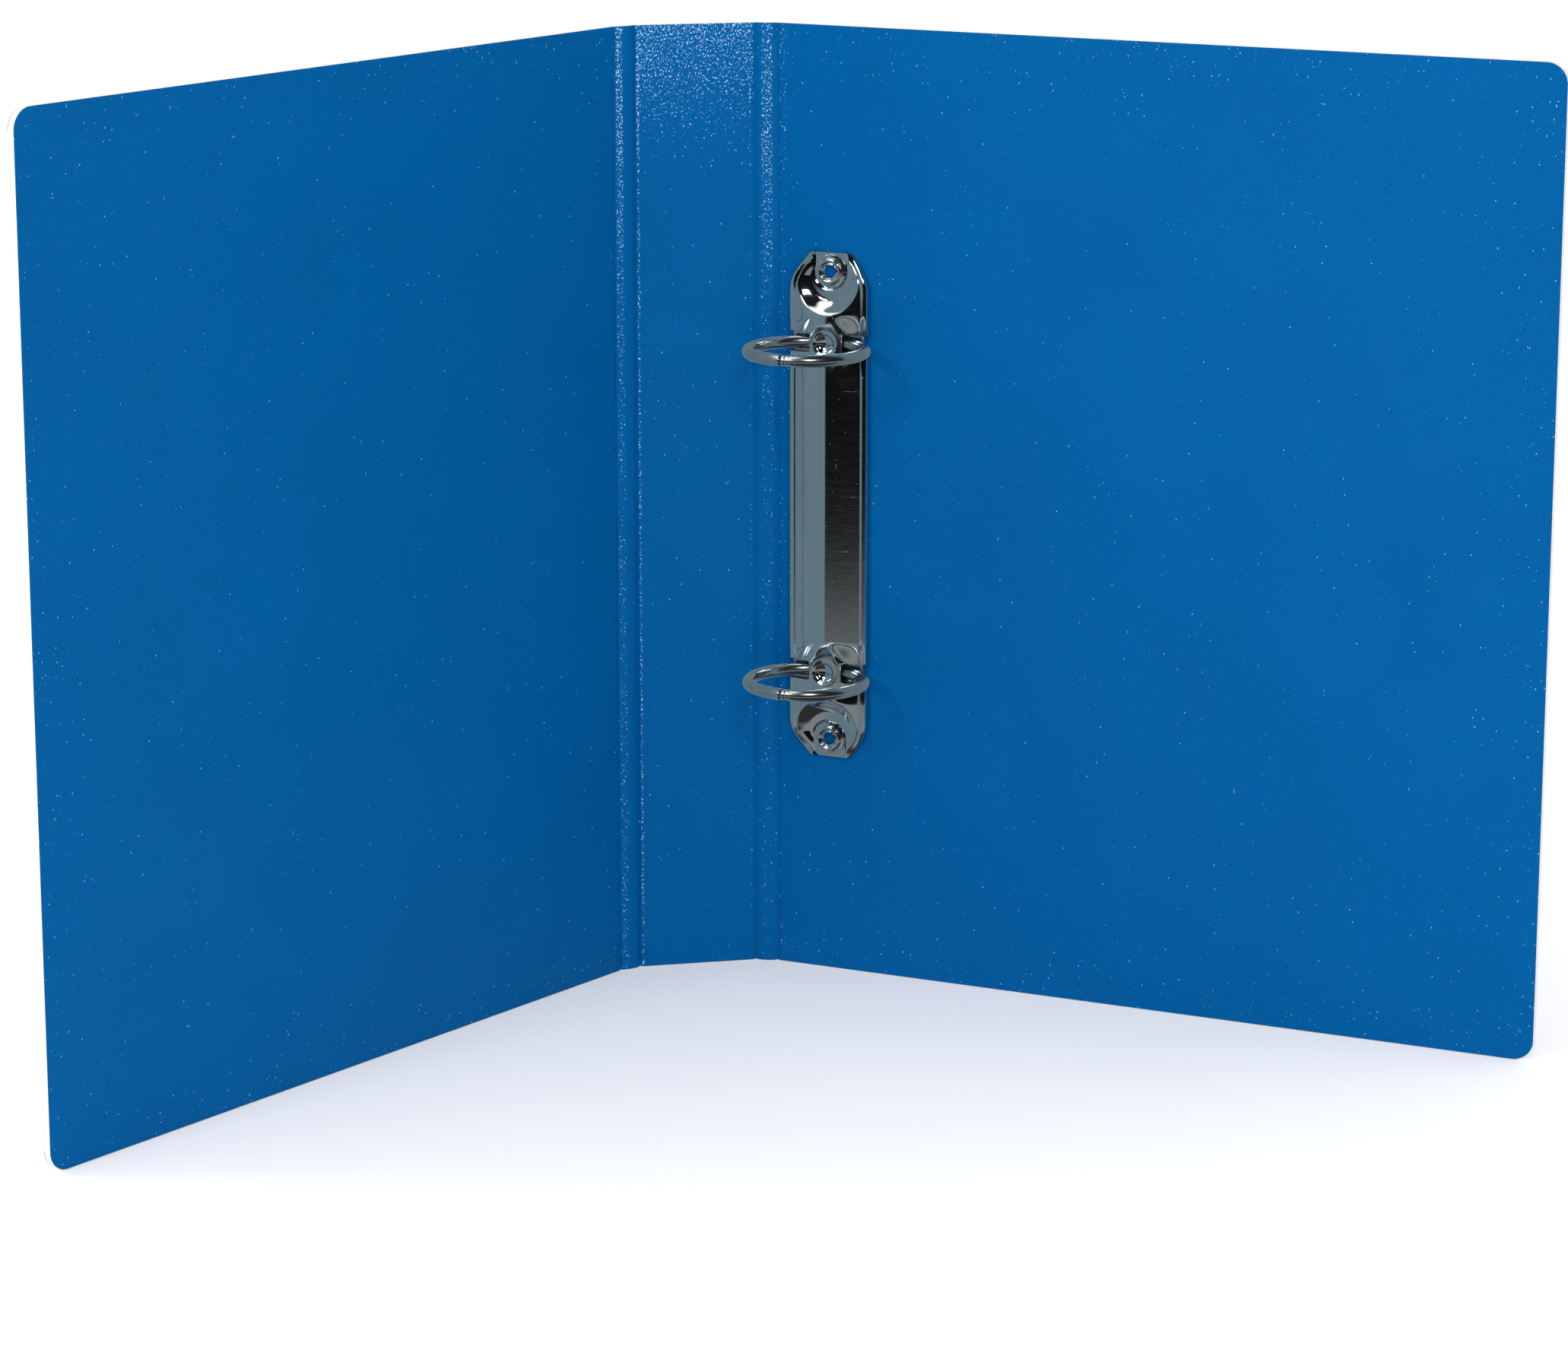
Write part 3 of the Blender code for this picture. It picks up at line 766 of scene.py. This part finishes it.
def add_crease(name, materials):
    """The films and the crushed board across one crease."""
    crease = CREASES[name]
    side = FRONT if name.startswith("front") else BACK
    shift = SPINE_PITCH / 2 + (STRIP_PITCH if name.endswith("cover") else 0.0)
    reach = HALF_GAP + OVERLAP
    columns = np.linspace(-reach, reach, 29)

    def valley(s):
        return np.clip(1 - (s / HALF_GAP) ** 2, 0.0, 1.0)

    def beyond(s):
        return shoulder(np.maximum(np.abs(s) - HALF_GAP, 0.0)) + CREASE_SINK

    def inner_face(s, z, e):
        return SKIN - beyond(s) - INNER_GROOVES[name] * valley(s) - edge_round(e)

    def outer_face(s, z, e):
        return -SKIN + 0.5 * beyond(s) + OUTER_GROOVE * valley(s) + edge_round(e)

    layers = {
        "inner_film": (
            materials["inner"],
            lambda s, z, e: inner_face(s, z, e) - FILM + CREASE_THINNING,
            inner_face,
        ),
        "outer_film": (
            materials["outer"],
            outer_face,
            lambda s, z, e: outer_face(s, z, e) + FILM - CREASE_THINNING,
        ),
        "board": (
            materials["board"],
            lambda s, z, e: outer_face(s, z, e) + FILM - LAYER_GAP,
            lambda s, z, e: inner_face(s, z, e) - FILM + LAYER_GAP,
        ),
    }
    start = crease.point(np.array(-HALF_GAP), np.array(HEIGHT / 2), np.array(0.0)) * MM
    end = crease.point(np.array(HALF_GAP), np.array(HEIGHT / 2), np.array(0.0)) * MM
    ends = inset_ends(full_height, CREASE_INSET)
    for layer, (surface, low, high) in layers.items():
        # the creases get a thin even scatter of painted highlight glints
        piece = slab(
            f"{name}_crease_{layer}", crease.point, columns, ends, low, high, PANEL_ROWS,
            surface, shift=shift, painted_glint=lambda s, z: 0.02 + 0.0 * s,
        )
        if side == FRONT:
            mirror_sheet(piece)
        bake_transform(piece)


def add_label(surface):
    """The white label on the spine's outside, with rounded corners."""
    straight = LABEL_WIDTH / 2 - LABEL_RADIUS

    def ends(s):
        past = max(0.0, abs(s) - straight)
        cut = LABEL_RADIUS - math.sqrt(max(0.0, LABEL_RADIUS**2 - past**2))
        return LABEL_TOP - LABEL_HEIGHT + cut, LABEL_TOP - cut

    turn = LABEL_RADIUS * np.sin(np.linspace(0, math.pi / 2, 9)[1:])
    right = np.concatenate([np.linspace(0, straight, 9)[1:], straight + turn])
    columns = np.concatenate([-right[::-1], [0.0], right])

    def outer_face(s, z, e):
        return -SKIN - LABEL_THICKNESS + 0.04 * (1 - smooth(e / 0.15)) + 0.0 * s

    def glued_face(s, z, e):
        return -SKIN + 0.01 + 0.0 * s

    label = slab(
        "spine_label_piece", SPINE.point, columns, ends, outer_face, glued_face, LABEL_ROWS, surface
    )
    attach(label, "spine")
    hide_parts("spine_label")


# ---------------------------------------------------------------- the ring mechanism


def outline_half(y):
    """Half width of the housing at y, with its rounded shoulders."""
    left = np.clip(1 - (HOUSING_END - np.abs(y)) / SHOULDER, 0.0, 1.0)
    return HALF_WIDTH - (HALF_WIDTH - END_HALF) * left**2.1


def arch(x):
    rise = ARCH_CROWN - ARCH_EDGE
    radius = (ARCH_HALF**2 + rise**2) / (2 * rise)
    x = np.clip(np.abs(x), 0.0, ARCH_HALF)
    return ARCH_CROWN - radius + np.sqrt(radius**2 - x**2)


def top_height(x, y):
    """The housing's outside height: arch, rims, basins round the rivets, ring bridges and dimples."""
    across = np.abs(x)
    along = np.abs(y)
    outline = outline_half(y)
    squeeze = outline / HALF_WIDTH
    from_rim = outline - (HALF_WIDTH - ARCH_HALF) - across
    height = arch(x / squeeze)
    height = height + (RIM_TOP - height) * smooth((RIM_STEP - from_rim) / RIM_STEP)
    plain = 1 - smooth((along - RING_Y + 6.0) / 4.0)
    height = height - RIM_GROOVE * plain * np.exp(-(((from_rim + 0.05) / RIM_GROOVE_WIDTH) ** 2))

    beside = np.maximum(np.abs(along - RING_Y) - NOTCH_HALF, 0.0)
    bridge = BRIDGE_HALF * np.clip(1 - beside / BRIDGE_LENGTH, 0.0, 1.0)
    flank = smooth(1 - beside / FLANK_LENGTH) * smooth((across - bridge) / FLANK_WIDTH)
    over_blade = np.minimum(height, FLANK_TOP + FLANK_SLOPE * (ARCH_HALF - across))
    height = height + (over_blade - height) * flank
    end = smooth((along - END_START) / END_RUN)
    height = height + (END_RIM - height) * end

    away = np.hypot(x, along - RING_Y)
    collar = COLLAR_DEPTH * (1 - smooth((away - COLLAR_RADIUS) / 0.6))
    cap = DIMPLE_DEPTH * np.sqrt(np.clip(1 - (away / DIMPLE_RADIUS) ** 2, 0.0, 1.0))
    height = height - np.where(away < COLLAR_RADIUS + 0.6, collar + cap, 0.0)

    oval = (1 - np.hypot(x / BASIN_HALF, (along - BASIN_Y) / BASIN_LENGTH)) * BASIN_HALF
    open_half = np.minimum(BASIN_HALF, outline - 0.85 - 0.3 * squeeze)
    inside = np.where(along < BASIN_Y, oval, open_half - across)
    run_in = (np.sqrt(inside**2 + 0.3) + inside) / 2
    wall = 1 - np.clip(1 - run_in / BASIN_WALL, 0.0, 1.0) ** 1.8
    past_floor = np.hypot(x, along - RIVET_Y) - FLOOR_RADIUS
    bowl = BOWL + BOWL_SLOPE * np.clip(past_floor, 0.0, 8.0)
    height = height + (bowl - height) * wall
    floor_half = np.minimum(FLOOR_RADIUS, open_half - 0.3)
    off_floor = np.where(along < RIVET_Y, past_floor, across - floor_half)
    floor = smooth(0.5 - off_floor / FLOOR_EDGE)
    return height + (BASE + SHEET - height) * floor


def housing_path():
    """Places across the sheet from its middle, over the arch and on to where the rim rounds over."""
    arch_part = np.linspace(0.0, ARCH_HALF - 0.4, 41)
    rim_part = np.array([8.12, 8.22, 8.3, 8.38, 8.46, 8.54, 8.64, 8.8, 9.05, HALF_WIDTH - RIM_EDGE])
    return np.concatenate([arch_part, rim_part])


def housing_stations():
    """Rows along the housing, closer together where it is pressed."""
    ring = RING_Y + np.linspace(-8.5, 5.0, 58)
    end = np.linspace(RING_Y + 5.22, HOUSING_END, 76)
    middle = np.linspace(0.0, RING_Y - 9.0, 12)
    half = np.concatenate([middle, ring, end])
    return np.unique(np.concatenate([-half, half]))


def housing_section(y):
    """The sheet's outside at y, from one lip over both rims to the other.

    The second result is each point's way from the outside of the sheet to its inside."""
    out = float(outline_half(y))
    half_path = housing_path()
    x = half_path * (out - RIM_EDGE) / (HALF_WIDTH - RIM_EDGE)
    x = np.where(half_path > ARCH_HALF - 0.45, half_path + out - HALF_WIDTH, x)
    z = top_height(x, np.full_like(x, y))
    rounding = np.linspace(0.0, math.pi / 2, 8)[1:]
    rim_x = x[-1] + (out - x[-1]) * np.sin(rounding)
    rim_z = z[-1] - min(RIM_EDGE, z[-1] - BASE - FOOT - 0.02) * (1 - np.cos(rounding))
    foot = np.linspace(0.0, math.pi / 2, 6)
    foot_x = out - FOOT * (1 - np.cos(foot))
    foot_z = BASE + FOOT * (1 - np.sin(foot))
    lip = LIP if abs(y) < LIP_END else SHORT_LIP
    turn = np.concatenate([0.0 * x, rounding, math.pi / 2 + foot, [math.pi]])
    x = np.concatenate([x, rim_x, foot_x, [out - lip]])
    z = np.concatenate([z, rim_z, foot_z, [BASE]])
    turn = np.concatenate([-turn[:0:-1], turn])
    x = np.concatenate([-x[:0:-1], x])
    z = np.concatenate([z[:0:-1], z])
    points = np.stack([x, 0 * turn + y, z], axis=-1)
    inward = np.stack([-np.sin(turn), 0 * turn, -np.cos(turn)], axis=-1) * SHEET
    return points, inward


def notch_outline(level, side):
    """A ring notch seen from above: a rounded slot that runs out through the housing's side."""
    middle = NOTCH_INNER + NOTCH_RADIUS
    outline = [(HALF_WIDTH + 1.0, -NOTCH_HALF)]
    for centre, first in ((NOTCH_RADIUS - NOTCH_HALF, 270), (NOTCH_HALF - NOTCH_RADIUS, 180)):
        for step in range(7):
            angle = math.radians(first - 90 * step / 6)
            x = middle + NOTCH_RADIUS * math.cos(angle)
            outline.append((x, centre + NOTCH_RADIUS * math.sin(angle)))
    outline.append((HALF_WIDTH + 1.0, NOTCH_HALF))
    return [(side * x, level * RING_Y + y) for x, y in outline]


def cut_out(bm, outline):
    """Cuts a convex outline out of the sheet, straight through it."""
    xs = [x for x, _ in outline]
    ys = [y for _, y in outline]

    def near(face, margin):
        centre = face.calc_center_median()
        return (
            min(xs) - margin < centre.x < max(xs) + margin
            and min(ys) - margin < centre.y < max(ys) + margin
        )

    for (ax, ay), (bx, by) in zip(outline, outline[1:]):
        faces = [face for face in bm.faces if near(face, 1.2)]
        edges = {edge for face in faces for edge in face.edges}
        verts = {vert for face in faces for vert in face.verts}
        bmesh.ops.bisect_plane(
            bm, geom=[*verts, *edges, *faces], dist=1e-5,
            plane_co=(ax, ay, 0.0), plane_no=(by - ay, ax - bx, 0.0),
        )
    middle = ((min(xs) + max(xs)) / 2, (min(ys) + max(ys)) / 2)

    def inside(face):
        centre = face.calc_center_median()
        for (ax, ay), (bx, by) in zip(outline, outline[1:]):
            turn = (bx - ax) * (centre.y - ay) - (by - ay) * (centre.x - ax)
            wanted = (bx - ax) * (middle[1] - ay) - (by - ay) * (middle[0] - ax)
            if turn * wanted < 0:
                return False
        return True

    gone = [face for face in bm.faces if near(face, 0.0) and inside(face)]
    bmesh.ops.delete(bm, geom=gone, context="FACES")


def thicken(bm, layer):
    """Closes the sheet with its inside face, each vertex moved by its own way inward."""
    faces = list(bm.faces)
    edges = [edge for edge in bm.edges if len(edge.link_faces) == 1]
    inner = {vert: bm.verts.new(vert.co + vert[layer]) for vert in list(bm.verts)}
    walls = [(edge.link_loops[0].vert, edge.link_loops[0].link_loop_next.vert) for edge in edges]
    for face in faces:
        bm.faces.new([inner[vert] for vert in reversed(face.verts)])
    for first, second in walls:
        bm.faces.new((second, first, inner[first], inner[second]))


def add_housing(surface):
    """The pressed nickel housing: one sheet, folded under at both rims and cut by four notches."""
    sections = [housing_section(y) for y in housing_stations()]
    points = np.array([section[0] for section in sections])
    inward = np.array([section[1] for section in sections])
    bm = bmesh.new()
    layer = bm.verts.layers.float_vector.new("inward")
    verts = [bm.verts.new(point) for point in points.reshape(-1, 3)]
    for vert, way in zip(verts, inward.reshape(-1, 3)):
        vert[layer] = Vector(way)
    for corners in grid_faces(len(points), points.shape[1]):
        bm.faces.new([verts[index] for index in corners])
    bmesh.ops.recalc_face_normals(bm, faces=bm.faces)
    top = max(bm.faces, key=lambda face: face.calc_center_median().z)
    if top.normal.z < 0:
        bmesh.ops.reverse_faces(bm, faces=bm.faces)
    for level in (-1, 1):
        for side in (-1, 1):
            cut_out(bm, notch_outline(level, side))
    for level in (-1, 1):
        turn = np.linspace(0.0, math.tau, 21)
        hole = [(RIVET_HOLE * math.cos(a), level * RIVET_Y + RIVET_HOLE * math.sin(a)) for a in turn]
        cut_out(bm, hole)
    thicken(bm, layer)
    for vert in bm.verts:
        x, y, z = vert.co
        vert.co = Vector(on_mechanism(x, y, z) * MM)
    mesh = bpy.data.meshes.new("ring_housing_piece")
    bm.to_mesh(mesh)
    bm.free()
    mesh.materials.append(surface)
    housing = bpy.data.objects.new("ring_housing_piece", mesh)
    bpy.context.scene.collection.objects.link(housing)
    shade(housing, 72.0)
    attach(housing, "back_cover")
    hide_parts("ring_housing")


def tube_faces(rings, sides):
    """Quads between closed rings of points, with a cap on the first ring and on the last."""
    faces = []
    for i in range(rings - 1):
        for k in range(sides):
            j = (k + 1) % sides
            near, far = i * sides, (i + 1) * sides
            faces.append((near + k, near + j, far + j, far + k))
    last = (rings - 1) * sides
    faces.append(tuple(range(sides)))
    faces.append(tuple(range(last + sides - 1, last - 1, -1)))
    return faces


def lathe(name, profile, y, materials, wobble):
    """Turns a profile of (radius, z) round a mechanism axis at y, with the radius changed by wobble."""
    rings = []
    angles = np.linspace(0, math.tau, RIVET_SEGMENTS, endpoint=False)
    for index, (radius, z) in enumerate(profile):
        reach = radius + wobble(index, angles)
        height = np.full(RIVET_SEGMENTS, z)
        rings.append(on_mechanism(reach * np.cos(angles), y + reach * np.sin(angles), height))
    faces = tube_faces(len(profile), RIVET_SEGMENTS)
    return make_object(name, np.array(rings), faces, materials, sharp=40.0)


def add_rivet(word, y, metal, lacquer):
    """A tubular rivet: lacquered head outside, flange and curled mouth inside the basin."""
    face = RIVET_HEAD_FACE
    floor = BASE + SHEET
    profile = []
    for step in range(13):
        angle = math.radians(90 * step / 12)
        profile.append((max(RIVET_HEAD * math.sin(angle), 0.05), face - 0.25 - 0.75 * math.cos(angle)))
    profile += [(RIVET_HEAD, face - 0.1), (RIVET_HEAD - 0.08, face)]
    profile += [(RIVET_SHANK, face), (RIVET_SHANK, floor + 0.02)]
    head_count = len(profile)
    profile += [(3.9, floor + 0.02), (4.02, floor + 0.1), (3.95, floor + 0.24), (3.35, floor + 0.3)]
    profile += [(3.16, floor + 0.36)]
    for step in range(13):
        angle = math.radians(-40 + 190 * step / 12)
        profile.append((2.62 + 0.52 * math.cos(angle), floor + 0.62 + 0.46 * math.sin(angle)))
    profile += [(2.0, floor + 0.72), (1.92, floor + 0.82), (1.78, floor + 0.86), (1.62, floor + 0.74)]
    profile += [(1.45, floor + 0.45), (1.28, floor + 0.1)]
    bore_start = len(profile)
    profile += [(RIVET_BORE, floor - 0.2), (RIVET_BORE, face + 0.2), (1.0, face - 0.1), (0.05, face - 0.25)]

    def wobble(index, angles):
        if head_count <= index < head_count + 4:
            torn = 0.1 * np.sin(5 * angles + 1.3 * y) * np.sin(3 * angles)
            return torn + 0.05 * np.sin(17 * angles)
        if head_count + 4 < index < bore_start:
            return 0.035 * np.sin(9 * angles + y) * np.sin(4 * angles)
        return 0.0 * angles

    piece = lathe(f"{word}_rivet_piece", profile, y, [metal, lacquer], wobble)
    for polygon in piece.data.polygons:
        ring = min(polygon.vertices) // RIVET_SEGMENTS
        if ring < head_count - 2 or ring >= bore_start - 1:
            polygon.material_index = 1
    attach(piece, "back_cover")
    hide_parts(f"{word}_rivet")


def ring_wire(reach, collar):
    """Wire radius at a distance along the ring from its crown: the joint's groove, collar and steps."""
    if not collar:
        return WIRE - 0.16 * (1 - smooth((reach - JOINT_HALF_GAP) / 0.2))
    radius = WIRE - 0.11 * (1 - smooth((reach - COLLAR_END) / 0.12))
    radius -= 0.08 * math.exp(-(((reach - 1.05) / 0.12) ** 2))
    return radius - 0.11 * (1 - smooth((reach - JOINT_HALF_GAP) / 0.18))


def add_ring_half(level, word, side, surface):
    """Half a ring of plated wire, from its joint at the crown down to its foot in the blade."""
    y = RING_Y if level == "upper" else -RING_Y
    sides = 40
    joint = [JOINT_HALF_GAP, 0.2, 0.26, 0.33, 0.42, 0.6]
    groove = [0.8, 0.9, 0.98, 1.05, 1.12, 1.2, 1.3, 1.5, 1.75, 1.95]
    collar_end = [COLLAR_END, 2.04, 2.08, 2.12, 2.3, 2.7]
    rest = np.linspace(3.3, RING_FOOT * RING_RADIUS, 84)
    reaches = np.concatenate([joint, groove, collar_end, rest])
    around = np.linspace(0, math.tau, sides, endpoint=False)
    rings = []
    for reach in reaches:
        angle = reach / RING_RADIUS
        wire = float(ring_wire(reach, side > 0))
        radius = RING_RADIUS + wire * np.cos(around)
        x = side * radius * math.sin(angle)
        z = RING_CENTRE + radius * math.cos(angle)
        rings.append(on_mechanism(x, y + wire * np.sin(around), z))
    faces = tube_faces(len(reaches), sides)
    name = f"{level}_ring_{word}_piece"
    piece = make_object(name, np.array(rings), faces, [surface], sharp=50.0)
    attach(piece, f"{word}_rings")
    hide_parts(f"{level}_ring_{word}_half")


# ---------------------------------------------------------------- studio


def add_floor():
    n = Nodes("pale_floor")
    grain = n.noise(n.body((0.01, 0.01, 0.01)), detail=3.0)
    tone = n.mix(n.ramp(grain, 0.3, 0.7), *FLOOR_WHITES)
    n.set(Base_Color=tone, Roughness=0.9, Specular_IOR_Level=0.1, Emission_Strength=FLOOR_GLOW)
    n.shader.inputs["Emission Color"].default_value = (1.0, 1.0, 1.0, 1.0)
    bm = bmesh.new()
    bmesh.ops.create_grid(bm, x_segments=8, y_segments=8, size=FLOOR_HALF)
    mesh = bpy.data.meshes.new("studio_floor")
    bm.to_mesh(mesh)
    bm.free()
    mesh.materials.append(n.material)
    floor = bpy.data.objects.new("studio_floor", mesh)
    floor.location = (0, 0, -FLOOR_DROP)
    bpy.context.scene.collection.objects.link(floor)
    floor.visible_glossy = False


def add_softbox(name, toward, size, power):
    light = bpy.data.lights.new(name, "AREA")
    light.energy = power
    light.size = size
    aim = Vector(SOFTBOX_AIM)
    place = aim + SOFTBOX_DISTANCE * Vector(toward).normalized()
    obj = bpy.data.objects.new(name, light)
    obj.location = place
    obj.rotation_euler = (aim - place).to_track_quat("-Z", "Y").to_euler()
    obj.visible_camera = False
    bpy.context.scene.collection.objects.link(obj)


def add_world():
    """White surroundings to the eye, soft grey to the metal, and darker towards the camera's side."""
    world = bpy.data.worlds.new("studio")
    bpy.context.scene.world = world
    world.use_nodes = True
    n = Tree(world.node_tree)
    n.tree.nodes.clear()
    direction = n.new("ShaderNodeTexCoord").outputs["Generated"]
    split = n.new("ShaderNodeSeparateXYZ")
    n.link(direction, split.inputs["Vector"])
    up = split.outputs["Z"]

    def facing(way):
        node = n.new("ShaderNodeVectorMath", operation="DOT_PRODUCT")
        n.link(direction, node.inputs[0])
        node.inputs[1].default_value = way
        return node.outputs["Value"]

    def soft(value, low, high, to_low, to_high):
        return n.ramp(value, low, high, to_low, to_high, "SMOOTHSTEP")

    def choose(factor, first, second):
        node = n.new("ShaderNodeMix", data_type="FLOAT")
        numbers = [socket for socket in node.inputs if socket.type == "VALUE"]
        for socket, value in zip(numbers, (factor, first, second)):
            n.feed(socket, value)
        return node.outputs["Result"]

    around = soft(facing(DARK_SIDE), -0.25, 0.0, GLOSS_LEVEL, GLOSS_DARK)
    near_floor = soft(up, -0.252, -0.205, GLOSS_FLOOR, 0.0)
    floor = n.math("MULTIPLY", near_floor, soft(up, -0.62, -0.4, 0.12, 1.0))
    lifted = soft(facing(OVERHEAD), 0.88, 0.94, 0.0, GLOSS_TOP)
    gloss = n.math("MAXIMUM", n.math("MAXIMUM", around, floor), lifted)
    path = n.new("ShaderNodeLightPath")
    strength = choose(path.outputs["Is Glossy Ray"], DIFFUSE_LEVEL, gloss)
    strength = choose(path.outputs["Is Camera Ray"], strength, 1.0)
    background = n.new("ShaderNodeBackground")
    background.inputs["Color"].default_value = (1.0, 1.0, 1.0, 1.0)
    n.link(strength, background.inputs["Strength"])
    output = n.new("ShaderNodeOutputWorld")
    n.link(background.outputs["Background"], output.inputs["Surface"])


def add_camera():
    camera = bpy.data.cameras.new("camera")
    camera.lens = CAMERA_LENS
    camera.sensor_width = SENSOR_WIDTH
    camera.clip_start, camera.clip_end = CLIP
    obj = bpy.data.objects.new("camera", camera)
    obj.location = CAMERA_PLACE
    obj.rotation_euler = (math.radians(90 - CAMERA_DOWN), 0.0, math.radians(CAMERA_TURN))
    bpy.context.scene.collection.objects.link(obj)
    bpy.context.scene.camera = obj


def add_studio():
    bpy.context.scene.view_settings.view_transform = "Standard"
    add_world()
    add_floor()
    for softbox in SOFTBOXES:
        add_softbox(*softbox)
    add_cards()


def card_material():
    n = Nodes("grey_card")
    cloud = n.noise(n.body((0.012, 0.012, 0.012)), detail=2.0)
    grey = n.mix(n.ramp(cloud, 0.3, 0.7), *CARD_GREYS)
    n.set(Base_Color=(0.0, 0.0, 0.0, 1.0), Specular_IOR_Level=0.0)
    n.set(Emission_Color=grey, Emission_Strength=1.0)
    n.material.cycles.emission_sampling = "NONE"
    return n.material


def add_cards():
    """Grey cards just off the films, seen by nothing but the metal, whose greys they keep neutral."""
    surface = card_material()
    z = np.array([CARD_MARGIN, CARD_MARGIN, HEIGHT - CARD_MARGIN, HEIGHT - CARD_MARGIN])
    depth = np.full(4, SKIN + CARD_LIFT)
    for name, panel, first, last in CARDS:
        corners = PLANES[panel].point(np.array([first, last, last, first]), z, depth) * MM
        mesh = bpy.data.meshes.new(f"card_{name}")
        mesh.from_pydata(corners.tolist(), [], [(0, 1, 2, 3)])
        mesh.materials.append(surface)
        card = bpy.data.objects.new(f"card_{name}", mesh)
        bpy.context.scene.collection.objects.link(card)
        card.visible_camera = card.visible_diffuse = card.visible_shadow = False
        card.visible_transmission = card.visible_volume_scatter = False


# ---------------------------------------------------------------- build


def main():
    materials = {
        "inner": inner_film_material(),
        "outer": outer_film_material(),
        "board": board_material(),
    }
    for name in PLANES:
        add_panel(name, name.split("_")[-1], materials)
    for word in ("front", "back"):
        add_crease(f"{word}_strip", materials)
        add_crease(f"{word}_cover", materials)
    add_label(label_material())

    housing_nickel = nickel_material("housing_nickel")
    ring_nickel = nickel_material("ring_nickel", shine=0.19, wear=0.6, greys=RING_GREYS)
    add_housing(housing_nickel)
    lacquer = lacquer_material()
    rivet_nickel = nickel_material("rivet_nickel", shine=0.14, wear=0.5)
    add_rivet("upper", RIVET_Y, rivet_nickel, lacquer)
    add_rivet("lower", -RIVET_Y, rivet_nickel, lacquer)
    for level in ("upper", "lower"):
        add_ring_half(level, "spine_side", -1, ring_nickel)
        add_ring_half(level, "fore_side", 1, ring_nickel)
    steel = blade_material()
    for node in ("spine_side_blade", "fore_side_blade"):
        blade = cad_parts[node]
        blade.data.materials.clear()
        blade.data.materials.append(steel)

    add_camera()
    add_studio()


main()
